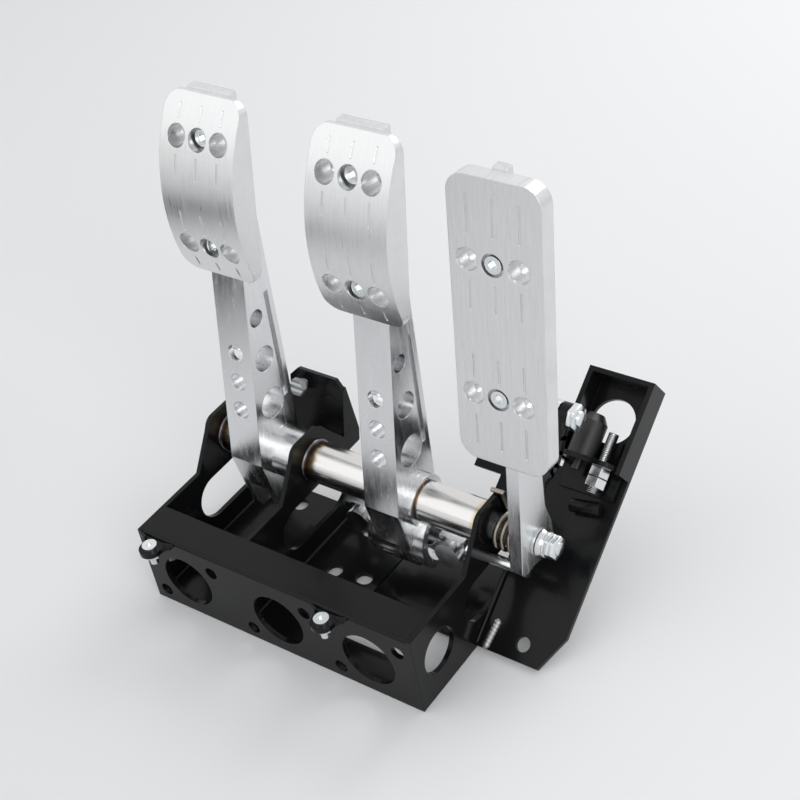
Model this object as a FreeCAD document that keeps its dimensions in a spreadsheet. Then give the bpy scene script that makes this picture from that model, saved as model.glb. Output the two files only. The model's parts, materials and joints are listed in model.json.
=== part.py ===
import FreeCAD, Part
import math
import os
import Sketcher

# Floor-mounted three-pedal box. X runs across the box to the right, Y away from the driver and Z up.
# The origin is on the floor, under the middle of the front face that carries the cylinders.

doc = FreeCAD.newDocument("PedalBox")
sheet = doc.addObject("Spreadsheet::Sheet", "Sizes")

SIZES = [
    ("wall", 3.0, "sheet thickness of the folded frame"),
    ("frame_width", 200.0, "outer width over the side plates"),
    ("frame_depth", 120.0, "depth of the side plates"),
    ("nose_height", 56.0, "height of the nose channel"),
    ("nose_depth", 23.0, "depth of the nose channel's top"),
    ("nose_bend", 2.0, "outer bend radius of the nose channel"),
    ("floor_depth", 115.0, "rear edge of the floor plates"),
    ("floor_right", 22.0, "right edge of the centre floor plate"),
    ("centre_plate", 34.0, "left face of the centre plate, left of the middle"),
    ("clutch_offset", 32.0, "middle of the clutch arm, right of the left side plate's outer face"),
    ("brake_x", 34.0, "middle of the brake arm"),
    ("throttle_offset", 25.0, "middle of the throttle arm, right of the right side plate's outer face"),
    ("cylinder_pitch", 65.0, "distance between the two brake cylinders"),
    ("cylinder_height", 26.0, "cylinder centres above the floor"),
    ("cylinder_hole", 18.0, "radius of a cylinder's hole"),
    ("flange_pcd", 57.15, "bolt circle of a cylinder's flange"),
    ("flange_tilt", 36.9, "tilt of the two flange bolts"),
    ("flange_bolt", 4.25, "radius of a flange bolt hole"),
    ("pivot_y", 90.5, "pedal axis behind the front face"),
    ("pivot_z", 64.0, "pedal axis above the floor"),
    ("pivot_bolt", 6.0, "radius of the pivot bolt"),
    ("running_fit", 0.03, "radial clearance of a bush on its pin"),
    ("push_fit", 0.01, "radial clearance of a seated part"),
    ("side_gap", 0.3, "side clearance between moving and fixed faces"),
    ("tube_outer", 12.7, "outer radius of the cross tubes"),
    ("tube_wall", 3.0, "wall of the cross tubes"),
    ("slot_low", 17.0, "lower edge of the long slots"),
    ("slot_high", 46.0, "upper edge of the long slots"),
    ("slot_front", 49.0, "front end of the long slots"),
    ("slot_back", 113.5, "rear end of the long slots"),
    ("window_y", 22.0, "round window behind the front face"),
    ("window_z", 29.0, "round window above the floor"),
    ("window", 14.0, "radius of the round window"),
    ("ear_foot", 55.0, "front foot of a side plate's ear"),
    ("ear_top", 85.0, "top of a side plate's ear"),
    ("ear_radius", 8.0, "rounding of the ear"),
    ("floor_bolt", 5.0, "radius of a floor bolt hole"),
    ("floor_bolt_left", -66.0, "left floor bolts across the box"),
    ("floor_bolt_right", -10.0, "right floor bolts across the box"),
    ("floor_bolt_front", 64.0, "front floor bolts behind the front face"),
    ("floor_bolt_pitch", 38.0, "front to rear floor bolts"),
    ("ramp_angle", 34.5, "slope of the throttle plate"),
    ("ramp_start", 53.0, "front edge of the throttle plate"),
    ("ramp_width", 51.0, "right edge of the throttle plate beyond the right side plate"),
    ("ramp_length", 173.0, "length of the throttle plate along its slope"),
    ("ramp_notch", 84.0, "slope length at which the plate widens to the left"),
    ("notch_inset", 26.0, "widened plate's left edge inside the right side plate"),
    ("ramp_tab", 98.0, "front edge of the left tab along the slope"),
    ("tab_inset", 45.0, "left tab's end inside the right side plate"),
    ("ramp_tab_back", 114.0, "rear edge of the left tab along the slope"),
    ("tray_offset", 9.0, "left side of the tray beyond the right side plate"),
    ("tray_front", 117.0, "front end of the tray's flanges along the slope"),
    ("tray_height", 15.5, "height of the tray's flanges over the plate"),
    ("tray_hole_offset", 28.5, "middle of the tray's cable hole beyond the right side plate"),
    ("tray_hole_v", 148.0, "cable hole along the slope"),
    ("tray_hole", 13.5, "radius of the tray's cable hole"),
    ("ramp_bolt_offset", 27.5, "throttle plate's bolt hole beyond the right side plate"),
    ("ramp_bolt_v", 10.4, "throttle plate's bolt hole along the slope"),
    ("ramp_bolt", 4.5, "radius of the throttle plate's bolt hole"),
    ("arm_width", 24.0, "width of the clutch and brake arms"),
    ("arm_lean", 79.0, "lean of an arm's front face"),
    ("arm_back_lean", 86.9, "lean of an arm's rear face"),
    ("arm_front", 21.5, "front face of an arm before the axis"),
    ("arm_back", 16.5, "rear face of an arm behind the axis"),
    ("arm_reach", 233.5, "top of an arm above the axis"),
    ("arm_foot", 46.0, "lower end of an arm below the axis"),
    ("arm_foot_front", 14.0, "front of an arm's lower end before the axis"),
    ("arm_foot_back", 16.0, "rear of an arm's lower end behind the axis"),
    ("head_start", 132.0, "lower end of an arm's wide head above the axis"),
    ("head_width", 30.0, "width of an arm's head"),
    ("groove_width", 3.5, "width of the groove beside an arm's rear edge"),
    ("groove_depth", 3.0, "depth of the groove"),
    ("groove_inset", 3.5, "groove inside an arm's rear edge"),
    ("hub_radius", 16.0, "radius of an arm's pivot hub"),
    ("hub_bore", 8.0, "bore of an arm's hub"),
    ("bush_flange", 10.5, "radius of a bush's flange"),
    ("bush_flange_thick", 1.0, "thickness of a bush's flange"),
    ("bush_length", 12.0, "length of a bush in the hub"),
    ("fork_gap", 15.0, "slot of the clutch fork"),
    ("fork_height", 26.0, "height of the clutch fork's slot"),
    ("push_y", 6.5, "push pins behind the axis"),
    ("push_drop", 30.0, "push pins below the axis"),
    ("clevis_pin", 4.0, "radius of the clutch clevis pin"),
    ("pad_width", 53.0, "width of the clutch and brake pads"),
    ("pad_length", 107.5, "length of the clutch and brake pads"),
    ("pad_bulge", 17.5, "thickness in the middle of a pad"),
    ("pad_edge", 3.0, "thickness at the ends of a pad"),
    ("pad_start", 129.0, "lower end of a pad above the axis along the arm"),
    ("pad_corner", 9.0, "corner radius of a pad"),
    ("pad_hole", 6.4, "radius of a pad's screw pockets"),
    ("pad_hole_pitch", 15.0, "distance between a pad's holes"),
    ("pad_row_low", 20.5, "lower row of holes above a pad's lower end"),
    ("pad_row_high", 84.5, "upper row of holes above a pad's lower end"),
    ("pocket_floor", 4.0, "metal left under a screw pocket"),
    ("screw_shank", 3.0, "radius of a pad screw's shank"),
    ("screw_head", 4.9, "radius of a pad screw's head"),
    ("screw_head_height", 5.0, "height of a pad screw's head"),
    ("screw_length", 10.0, "screw length in the arm"),
    ("screw_key", 2.5, "half width of a screw's key socket"),
    ("groove_engrave", 0.6, "depth of the grip grooves"),
    ("groove_engrave_width", 1.2, "width of the grip grooves"),
    ("t_arm_width", 8.0, "width of the throttle arm"),
    ("t_arm_lean", 82.0, "lean of the throttle arm's front face"),
    ("t_arm_front", 20.9, "front face of the throttle arm before the axis"),
    ("t_arm_foot", 9.2, "lower tip of the throttle arm below the axis"),
    ("t_arm_hub", 12.0, "rear edge of the throttle arm behind the axis, at its hub"),
    ("t_arm_waist", 7.5, "rear edge of the throttle arm behind the axis, above its hub"),
    ("t_arm_top", 5.0, "depth of the throttle arm at its top"),
    ("t_arm_reach", 235.0, "top of the throttle arm above the axis"),
    ("t_pad_width", 54.0, "width of the throttle pad"),
    ("t_pad_length", 163.5, "length of the throttle pad"),
    ("t_pad_thick", 10.0, "thickness of the throttle pad"),
    ("t_pad_start", 72.5, "lower end of the throttle pad above the axis along the arm"),
    ("t_pad_corner", 11.0, "corner radius of the throttle pad"),
    ("t_row_low", 40.3, "lower row of holes above the throttle pad's lower end"),
    ("t_row_high", 117.4, "upper row of holes above the throttle pad's lower end"),
    ("t_hole", 3.6, "radius of the throttle pad's holes"),
    ("spacer_radius", 11.0, "radius of the turned spacer outside the throttle arm"),
    ("spacer_length", 7.0, "length of that spacer"),
    ("washer_radius", 11.0, "radius of the pivot washers"),
    ("washer_thick", 1.5, "thickness of the pivot washers"),
    ("nut_flats", 18.0, "flats of the pivot nut and head"),
    ("nut_height", 7.5, "height of the pivot nut and head"),
    ("bolt_tail", 3.0, "thread beyond the pivot nut"),
    ("sleeve_radius", 12.5, "outer radius of the balance bar's bearing sleeve"),
    ("sleeve_bore", 10.0, "inner radius of the bearing sleeve"),
    ("sleeve_overhang", 1.0, "sleeve outside each side of the brake arm"),
    ("boss_radius", 16.5, "boss of the brake arm round the sleeve"),
    ("guard_outer", 22.5, "outer radius of the brake arm's curved cheeks"),
    ("guard_inner", 17.0, "inner radius of the curved cheeks"),
    ("guard_width", 8.0, "curved cheeks beside the brake arm"),
    ("guard_relief", 14.0, "clear radius of the cheeks round the cross tubes"),
    ("ball_radius", 10.0, "radius of the bearing ball"),
    ("ball_half", 7.0, "half the width of the bearing ball"),
    ("bar_radius", 5.0, "radius of the balance bar"),
    ("bar_length", 96.0, "length of the balance bar"),
    ("nut_gap", 1.4, "balance bar nuts beside the push clevises"),
    ("trunnion_radius", 7.0, "radius of a trunnion"),
    ("clevis_outer", 8.5, "radius of a push clevis and its face"),
    ("clevis_length", 16.0, "push face in front of the balance bar"),
    ("clevis_wall", 3.0, "cheek of a push clevis above and below its trunnion"),
    ("lug_radius", 7.0, "radius of a heel-plate lug"),
    ("lug_left", -84.0, "left heel-plate lug across the box"),
    ("lug_right", 45.0, "right heel-plate lug across the box"),
    ("lug_reach", 7.0, "lug bolt before the front face"),
    ("lug_bolt", 2.5, "radius of a heel-plate bolt"),
    ("stop_plate_left", 72.0, "left edge of the clutch stop bracket, left of the middle"),
    ("stop_plate_lean", 76.0, "lean of the clutch stop bracket"),
    ("stop_plate_y", 118.0, "front face of the clutch stop bracket"),
    ("stop_plate_z", 57.0, "height at which that face is measured"),
    ("stop_plate_low", 9.3, "bracket below that height along its lean"),
    ("stop_plate_high", 41.0, "bracket above that height along its lean"),
    ("stop_flange", 13.0, "depth of the bracket's side flange at its foot"),
    ("stop_bolt_offset", 7.0, "clutch stop bolt right of the clutch arm's middle"),
    ("stop_bolt_v", 32.0, "clutch stop bolt above that height along the lean"),
    ("stop_bolt", 3.0, "radius of the clutch stop bolt"),
    ("stop_bolt_reach", 8.2, "stop bolt's tip in front of its bracket"),
    ("rod_radius", 3.5, "radius of the throttle stop rod"),
    ("rod_y", -12.5, "throttle stop rod before the axis"),
    ("rod_z", -13.0, "throttle stop rod below the axis"),
    ("rod_inset", 14.0, "left end of the throttle stop rod inside the right side plate"),
    ("rod_reach", 26.0, "right end of the throttle stop rod beyond the right side plate"),
    ("lever_thick", 5.0, "thickness of the cable lever"),
    ("lever_radius", 72.3, "cable clamp from the pedal axis"),
    ("lever_angle", 52.0, "cable clamp above the horizontal through the axis"),
    ("lever_width", 10.0, "width of the cable lever"),
    ("clamp_radius", 5.0, "radius of the cable clamp"),
    ("clamp_hole", 1.2, "radius of the cable clamp's wire hole"),
    ("buffer_offset", 23.0, "middle of the stop buffer beyond the right side plate"),
    ("buffer_radius", 8.5, "radius of the stop buffer"),
    ("buffer_length", 26.0, "length of the stop buffer"),
    ("buffer_height", 12.0, "stop buffer and stud over the throttle plate"),
    ("stand_v", 118.0, "front face of the stop bracket's upright along the slope"),
    ("stand_offset", 12.5, "left end of the stop bracket beyond the right side plate"),
    ("stand_width", 35.0, "width of the stop bracket"),
    ("stand_height", 22.0, "height of the stop bracket over the throttle plate"),
    ("stand_foot", 15.0, "depth of the stop bracket's foot"),
    ("stud_offset", 37.5, "middle of the stop stud beyond the right side plate"),
    ("stud_radius", 3.0, "radius of the stop stud"),
    ("stud_length", 36.0, "length of the stop stud"),
    ("stud_front", 15.0, "stud in front of its bracket"),
    ("spring_wire", 1.5, "radius of the return spring's wire"),
    ("spring_mean", 10.5, "mean radius of the return spring"),
    ("spring_turns", 3.5, "coils of the return spring"),
    ("spring_pitch", 4.6, "pitch of the return spring"),
]
VALUE = {}
for row, (alias, number, meaning) in enumerate(SIZES, start=1):
    sheet.set("A%d" % row, alias)
    sheet.set("B%d" % row, str(number))
    sheet.set("C%d" % row, meaning)
    sheet.setAlias("B%d" % row, alias)
    VALUE[alias] = number
doc.recompute()

# Places that follow from the sizes; an expression may use these names like any size.
PLACES = {
    "half_width": "frame_width / 2",
    "clutch_x": "clutch_offset - half_width",
    "throttle_x": "half_width + throttle_offset",
    "ramp_right": "half_width + ramp_width",
    "ramp_notch_x": "half_width - notch_inset",
    "ramp_tab_x": "half_width - tab_inset",
    "tray_left": "half_width + tray_offset",
    "tray_hole_x": "half_width + tray_hole_offset",
    "ramp_bolt_x": "half_width + ramp_bolt_offset",
    "buffer_x": "half_width + buffer_offset",
    "stand_left": "half_width + stand_offset",
    "stand_right": "stand_left + stand_width",
    "stud_x": "half_width + stud_offset",
    "rod_left": "half_width - rod_inset",
    "rod_right": "half_width + rod_reach",
    "stop_bolt_x": "clutch_x + stop_bolt_offset",
}
SUB_PARTS = []


def expression(text):
    """The text as a FreeCAD expression: each word that is a size becomes its cell."""
    words = []
    word = ""
    for letter in text + " ":
        if letter.isalnum() or letter == "_":
            word += letter
            continue
        if word in PLACES:
            words.append("(" + expression(PLACES[word]) + ")")
        else:
            words.append("Sizes." + word if word in VALUE else word)
        words.append(letter)
        word = ""
    return "".join(words).strip()


def value(text):
    """The number that an expression of sizes has."""
    result = sheet.evalExpression(expression(str(text)))
    return float(getattr(result, "Value", result))


def bind(thing, target, text):
    thing.setExpression(target, expression(str(text)))


def place(thing, spot):
    for axis_name, text in zip("xyz", spot):
        bind(thing, "Placement.Base." + axis_name, text)


def keep(thing, label):
    """Gives a finished sub-part the label that names its file."""
    thing.Label = label
    SUB_PARTS.append(thing)
    return thing


TURNS = {
    "x": FreeCAD.Rotation(FreeCAD.Vector(0, 0, 1), FreeCAD.Vector(1, 0, 0)),
    "y": FreeCAD.Rotation(FreeCAD.Vector(0, 0, 1), FreeCAD.Vector(0, 1, 0)),
    "z": FreeCAD.Rotation(),
}


def cylinder(name, radius, length, spot, axis="z", turn=None):
    solid = doc.addObject("Part::Cylinder", name)
    bind(solid, "Radius", radius)
    bind(solid, "Height", length)
    solid.Placement = FreeCAD.Placement(FreeCAD.Vector(), turn or TURNS[axis])
    place(solid, spot)
    return solid


def cone(name, radius_low, radius_high, length, spot, axis="z", turn=None):
    solid = doc.addObject("Part::Cone", name)
    bind(solid, "Radius1", radius_low)
    bind(solid, "Radius2", radius_high)
    bind(solid, "Height", length)
    solid.Placement = FreeCAD.Placement(FreeCAD.Vector(), turn or TURNS[axis])
    place(solid, spot)
    return solid


def hexagon(name, flats, length, spot, axis="z", turn=None):
    solid = doc.addObject("Part::Prism", name)
    solid.Polygon = 6
    bind(solid, "Circumradius", "(%s) / sqrt(3)" % flats)
    bind(solid, "Height", length)
    solid.Placement = FreeCAD.Placement(FreeCAD.Vector(), turn or TURNS[axis])
    place(solid, spot)
    return solid


def box(name, length, width, height, spot, turn=None):
    solid = doc.addObject("Part::Box", name)
    bind(solid, "Length", length)
    bind(solid, "Width", width)
    bind(solid, "Height", height)
    solid.Placement = FreeCAD.Placement(FreeCAD.Vector(), turn or FreeCAD.Rotation())
    place(solid, spot)
    return solid


def sphere(name, radius, spot):
    solid = doc.addObject("Part::Sphere", name)
    bind(solid, "Radius", radius)
    place(solid, spot)
    return solid


def fuse(name, *things):
    joined = doc.addObject("Part::MultiFuse", name)
    joined.Shapes = list(things)
    return joined


def cut(name, base, *tools):
    result = doc.addObject("Part::Cut", name)
    result.Base = base
    result.Tool = tools[0] if len(tools) == 1 else fuse(name + "_tools", *tools)
    return result


def group(name, *things):
    """Several separate solids in one sub-part."""
    compound = doc.addObject("Part::Compound", name)
    compound.Links = list(things)
    return compound


def origin_plane(body, role):
    for feature in body.Origin.OriginFeatures:
        if feature.Role == role:
            return feature


def outline(sketch, points):
    """A closed outline of straight lines; each corner is held by two driving dimensions."""
    count = len(points)
    spots = [FreeCAD.Vector(value(a), value(b), 0) for a, b in points]
    first = sketch.GeometryCount
    for i in range(count):
        sketch.addGeometry(Part.LineSegment(spots[i], spots[(i + 1) % count]), False)
    for i in range(count):
        sketch.addConstraint(Sketcher.Constraint("Coincident", first + i, 2, first + (i + 1) % count, 1))
    for i in range(count):
        hold(sketch, first + i, 1, points[i])


def hold(sketch, edge, end, spot):
    for kind, text in zip(("DistanceX", "DistanceY"), spot):
        index = sketch.addConstraint(Sketcher.Constraint(kind, -1, 1, edge, end, value(text)))
        bind(sketch, "Constraints[%d]" % index, text)


def circle(sketch, centre, radius):
    middle = FreeCAD.Vector(value(centre[0]), value(centre[1]), 0)
    edge = sketch.addGeometry(Part.Circle(middle, FreeCAD.Vector(0, 0, 1), value(radius)), False)
    hold(sketch, edge, 3, centre)
    index = sketch.addConstraint(Sketcher.Constraint("Radius", edge, value(radius)))
    bind(sketch, "Constraints[%d]" % index, radius)


def oblong(sketch, left, right, low, high):
    """A slot with two round ends, along the sketch's first axis."""
    half = "((%s) - (%s)) / 2" % (high, low)
    level = "((%s) + (%s)) / 2" % (high, low)
    ends = ("(%s) + %s" % (left, half), "(%s) - %s" % (right, half))
    radius = value(half)
    quarter = math.pi / 2
    first = sketch.GeometryCount
    for text, start in zip(ends, (quarter, -quarter)):
        middle = FreeCAD.Vector(value(text), value(level), 0)
        whole = Part.Circle(middle, FreeCAD.Vector(0, 0, 1), radius)
        sketch.addGeometry(Part.ArcOfCircle(whole, start, start + math.pi), False)
    upper = [FreeCAD.Vector(value(text), value(level) + radius, 0) for text in ends]
    lower = [FreeCAD.Vector(value(text), value(level) - radius, 0) for text in ends]
    sketch.addGeometry(Part.LineSegment(upper[0], upper[1]), False)
    sketch.addGeometry(Part.LineSegment(lower[0], lower[1]), False)
    for line, left_end, right_end in ((first + 2, 1, 2), (first + 3, 2, 1)):
        sketch.addConstraint(Sketcher.Constraint("Tangent", first, left_end, line, 1))
        sketch.addConstraint(Sketcher.Constraint("Tangent", first + 1, right_end, line, 2))
    for arc, text in ((first, ends[0]), (first + 1, ends[1])):
        hold(sketch, arc, 3, (text, level))
    index = sketch.addConstraint(Sketcher.Constraint("Radius", first, radius))
    bind(sketch, "Constraints[%d]" % index, half)


def plate(name, role, points, thick, circles=(), oblongs=(), spot=None, turn=None):
    """A body padded from one sketch on an origin plane, with its holes in the same sketch."""
    body = doc.addObject("PartDesign::Body", name)
    sketch = body.newObject("Sketcher::SketchObject", name + "_outline")
    sketch.AttachmentSupport = (origin_plane(body, role), [""])
    sketch.MapMode = "FlatFace"
    outline(sketch, points)
    for centre, radius in circles:
        circle(sketch, centre, radius)
    for slot in oblongs:
        oblong(sketch, *slot)
    pad = body.newObject("PartDesign::Pad", name + "_pad")
    pad.Profile = sketch
    bind(pad, "Length", thick)
    if turn:
        body.Placement = FreeCAD.Placement(FreeCAD.Vector(), turn)
    if spot:
        place(body, spot)
    doc.recompute()
    return body


def near(text, number):
    return abs(value(text) - number) < 0.05


def round_corners(body, corners, radius, across="YZ"):
    """Fillets the edges that run straight through the outline at the given corners."""
    base = body.Tip
    picks = {"YZ": ("y", "z"), "XZ": ("x", "z"), "XY": ("x", "y")}[across]
    names = []
    for number, edge in enumerate(base.Shape.Edges, start=1):
        if len(edge.Vertexes) < 2:
            continue
        one, two = edge.Vertexes[0].Point, edge.Vertexes[1].Point
        for corner in corners:
            if all(near(text, getattr(end, pick)) for end in (one, two) for text, pick in zip(corner, picks)):
                names.append("Edge%d" % number)
    fillet = body.newObject("PartDesign::Fillet", body.Name + "_fillet")
    fillet.Base = (base, names)
    bind(fillet, "Radius", radius)
    doc.recompute()
    return body


HALF = "half_width"
INNER = "half_width - wall"


def nose_channel():
    """Front plate and top plate folded from one sheet, with the three cylinder flanges' holes."""
    points = [
        ("0", "0"), ("wall", "0"), ("wall", "nose_height - wall"), ("nose_depth", "nose_height - wall"),
        ("nose_depth", "nose_height"), ("0", "nose_height"),
    ]
    body = plate("NoseChannel", "YZ_Plane", points, "frame_width - 2 * wall", spot=("wall - frame_width / 2", "0", "0"))
    round_corners(body, [("0", "nose_height")], "nose_bend")
    centres = {
        "Clutch": "clutch_x",
        "BrakeLeft": "brake_x - cylinder_pitch / 2",
        "BrakeRight": "brake_x + cylinder_pitch / 2",
    }
    tools = []
    for name, middle in centres.items():
        tools.append(cylinder(name + "Hole", "cylinder_hole", "3 * wall", (middle, "-wall", "cylinder_height"), "y"))
        for side, sign in (("Upper", "+"), ("Lower", "-")):
            spot = (
                "%s %s flange_pcd / 2 * cos(flange_tilt)" % (middle, sign),
                "-wall",
                "cylinder_height %s flange_pcd / 2 * sin(flange_tilt)" % sign,
            )
            tools.append(cylinder(name + side + "Bolt", "flange_bolt", "3 * wall", spot, "y"))
    return keep(cut("NoseChannelHoles", body, *tools), "nose_channel")


def stop_face(height):
    """Front face of the leaning clutch stop bracket at a height above the floor."""
    return "stop_plate_y + (%s - stop_plate_z) / tan(stop_plate_lean)" % height


def side_plate(name, label, left, front, window):
    """A side plate: low strip with a long slot, and the ear that carries the pedal axis."""
    step = [(front, "0"), (front, "nose_height")]
    if front != "0":
        step = [(front, "0"), (front, "nose_height - wall"), ("nose_depth", "nose_height - wall"),
                ("nose_depth", "nose_height")]
    shoulder = [("ear_foot + 60", "ear_top - 25")]
    if front != "0":
        shoulder = [(stop_face("ear_top - 25"), "ear_top - 25"), (stop_face("slot_high + 2"), "slot_high + 2")]
    points = step + [
        ("ear_foot", "nose_height"), ("ear_foot + 16", "nose_height + 22"), ("ear_foot + 20", "ear_top"),
        ("ear_foot + 45", "ear_top"), ("ear_foot + 52", "ear_top - 10"),
    ] + shoulder + [("frame_depth", "slot_high"), ("frame_depth", "0")]
    circles = [(("pivot_y", "pivot_z"), "pivot_bolt + running_fit")]
    if window:
        circles.append((("window_y", "window_z"), "window"))
    if label == "side_plate_right":
        circles.append((("pivot_y + rod_y", "pivot_z + rod_z"), "rod_radius + push_fit"))
    slots = [("slot_front", "slot_back", "slot_low", "slot_high")]
    body = plate(name, "YZ_Plane", points, "wall", circles, slots, spot=(left, "0", "0"))
    corners = [("ear_foot + 20", "ear_top"), ("ear_foot + 45", "ear_top")]
    round_corners(body, corners, "ear_radius")
    return keep(body, label)


def floor_plate(name, label, left, right, holes, slots):
    points = [(left, "wall"), (right, "wall"), (right, "floor_depth"), (left, "floor_depth")]
    return keep(plate(name, "XY_Plane", points, "wall", holes, slots), label)


def ramp_turn():
    return FreeCAD.Rotation(FreeCAD.Vector(1, 0, 0), value("ramp_angle"))


def on_ramp(x, v, w):
    """Row-frame place of a point at x, slope length v and height w over the throttle plate's top."""
    return (
        x,
        "ramp_start + (%s) * cos(ramp_angle) - (%s) * sin(ramp_angle)" % (v, w),
        "(%s) * sin(ramp_angle) + (%s + wall) * cos(ramp_angle)" % (v, w),
    )


def throttle_plate():
    """Sloping plate with the tray at its far end; modelled flat and tilted about its front edge."""
    points = [
        (HALF, "0"), ("ramp_right - 10", "0"), ("ramp_right", "22"), ("ramp_right", "ramp_length"),
        ("tray_left", "ramp_length"), ("tray_left", "ramp_tab_back"), ("ramp_tab_x", "ramp_tab_back"),
        ("ramp_tab_x", "ramp_tab"), ("ramp_notch_x", "ramp_tab"), ("ramp_notch_x", "ramp_notch"),
        (HALF, "ramp_notch"),
    ]
    holes = [
        (("tray_hole_x", "tray_hole_v"), "tray_hole"),
        (("ramp_bolt_x", "ramp_bolt_v"), "ramp_bolt"),
    ]
    return plate("ThrottlePlate", "XY_Plane", points, "wall", holes, spot=on_ramp("0", "0", "-wall"), turn=ramp_turn())


def tray_flanges():
    """The three flanges round the tray's cable hole."""
    turn = ramp_turn()
    height = "tray_height + wall"
    long_side = "ramp_length - tray_front"
    across = "ramp_right - tray_left"
    left = box("TrayLeft", "wall", long_side, height, on_ramp("tray_left", "tray_front", "-wall"), turn)
    right = box("TrayRight", "wall", long_side, height, on_ramp("ramp_right - wall", "tray_front", "-wall"), turn)
    far = box("TrayFar", across, "wall", height, on_ramp("tray_left", "ramp_length - wall", "-wall"), turn)
    return [left, right, far]


def cross_tube(name, label, left, right):
    """Steel tube round the pivot bolt, welded to its plate and stopping just short of the arm."""
    outer = cylinder(name + "Outer", "tube_outer", "(%s) - (%s)" % (right, left), (left, "pivot_y", "pivot_z"), "x")
    bore = cylinder(name + "Bore", "tube_outer - tube_wall", "(%s) - (%s) + 2" % (right, left),
                    ("(%s) - 1" % left, "pivot_y", "pivot_z"), "x")
    return keep(cut(name, outer, bore), label)


def front_line(height):
    """Front face of a clutch or brake arm at a height above the axis, measured from the axis."""
    return "-arm_front + (%s) / tan(arm_lean)" % height


def back_line(height):
    return "arm_back + (%s) / tan(arm_back_lean)" % height


def pedal_arm(name, middle):
    """Machined arm: tapered blade, wide head behind the pad, bent foot, hub, holes and grooves."""
    top, foot = "arm_reach", "arm_foot"
    points = [
        ("pivot_y + " + front_line("2"), "pivot_z + 2"),
        ("pivot_y + " + front_line(top), "pivot_z + " + top),
        ("pivot_y + " + back_line(top), "pivot_z + " + top),
        ("pivot_y + " + back_line("0"), "pivot_z"),
        ("pivot_y + arm_foot_back + 2", "pivot_z - " + foot + " + 12"),
        ("pivot_y + arm_foot_back - 6", "pivot_z - " + foot),
        ("pivot_y - arm_foot_front + 3", "pivot_z - " + foot),
        ("pivot_y - arm_foot_front", "pivot_z - " + foot + " + 6"),
    ]
    blade = plate(name + "Blade", "YZ_Plane", points, "arm_width", spot=(middle + " - arm_width / 2", "0", "0"))
    head_points = [
        ("pivot_y + " + front_line("head_start"), "pivot_z + head_start"),
        ("pivot_y + " + front_line(top), "pivot_z + " + top),
        ("pivot_y + " + back_line(top), "pivot_z + " + top),
        ("pivot_y + " + front_line("head_start + 12") + " + 8", "pivot_z + head_start + 12"),
    ]
    head = plate(name + "Head", "YZ_Plane", head_points, "head_width", spot=(middle + " - head_width / 2", "0", "0"))
    return blade, head


def arm_cuts(name, middle):
    """Three side holes that grow downwards, three shallow front holes and the two rear grooves."""
    tools = []
    side_holes = (("36", "10", "1"), ("68", "8", "3.5"), ("96.5", "5.5", "5"))
    for number, (height, radius, depth) in enumerate(side_holes):
        spot = (middle + " - arm_width", "pivot_y + " + depth, "pivot_z + " + height)
        tools.append(cylinder("%sSide%d" % (name, number), radius, "2 * arm_width", spot, "x"))
    lean = FreeCAD.Rotation(FreeCAD.Vector(1, 0, 0), value("arm_lean") - 180)
    for number, height in enumerate(("38", "57", "76")):
        spot = (middle, "pivot_y + %s - 2" % front_line(height), "pivot_z + " + height)
        tools.append(cylinder("%sFront%d" % (name, number), "5.5", "7", spot, turn=lean))
    groove = [
        ("pivot_y + %s - groove_inset" % back_line("34"), "pivot_z + 34"),
        ("pivot_y + %s - groove_inset" % back_line("108"), "pivot_z + 108"),
        ("pivot_y + %s - groove_inset - groove_width" % back_line("108"), "pivot_z + 108"),
        ("pivot_y + %s - groove_inset - groove_width" % back_line("34"), "pivot_z + 34"),
    ]
    for side, left in (("Left", " - arm_width / 2 - 1"), ("Right", " + arm_width / 2 - groove_depth")):
        tools.append(plate(name + "Groove" + side, "YZ_Plane", groove, "groove_depth + 1", spot=(middle + left, "0", "0")))
    return tools


def clutch_arm():
    blade, head = pedal_arm("ClutchArm", "clutch_x")
    hub_end = "-centre_plate - side_gap - bush_flange_thick"
    hub = cylinder("ClutchHub", "hub_radius", hub_end + " - clutch_x", ("clutch_x", "pivot_y", "pivot_z"), "x")
    tools = arm_cuts("ClutchArm", "clutch_x")
    rows = ("pad_row_low", "pad_row_high")
    tools += screw_holes("ClutchArm", "clutch_x", "arm_lean", "arm_front", "pad_start", rows)
    tools.append(cylinder("ClutchBore", "hub_bore", "80", ("clutch_x - 40", "pivot_y", "pivot_z"), "x"))
    tools.append(box("ClutchForkSlot", "fork_gap", "60", "fork_height",
                     ("clutch_x - fork_gap / 2", "pivot_y - 30", "pivot_z - arm_foot - 1")))
    tools.append(cylinder("ClutchPinBore", "clevis_pin + push_fit", "40",
                          ("clutch_x - 20", "pivot_y + push_y", "pivot_z - push_drop"), "x"))
    return keep(cut("ClutchArmCut", fuse("ClutchArmBlank", blade, head, hub), *tools), "clutch_arm")


def push_centre():
    """Row-frame y and z of the push axis in the lower ends of the arms."""
    return ("pivot_y + push_y", "pivot_z - push_drop")


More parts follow.
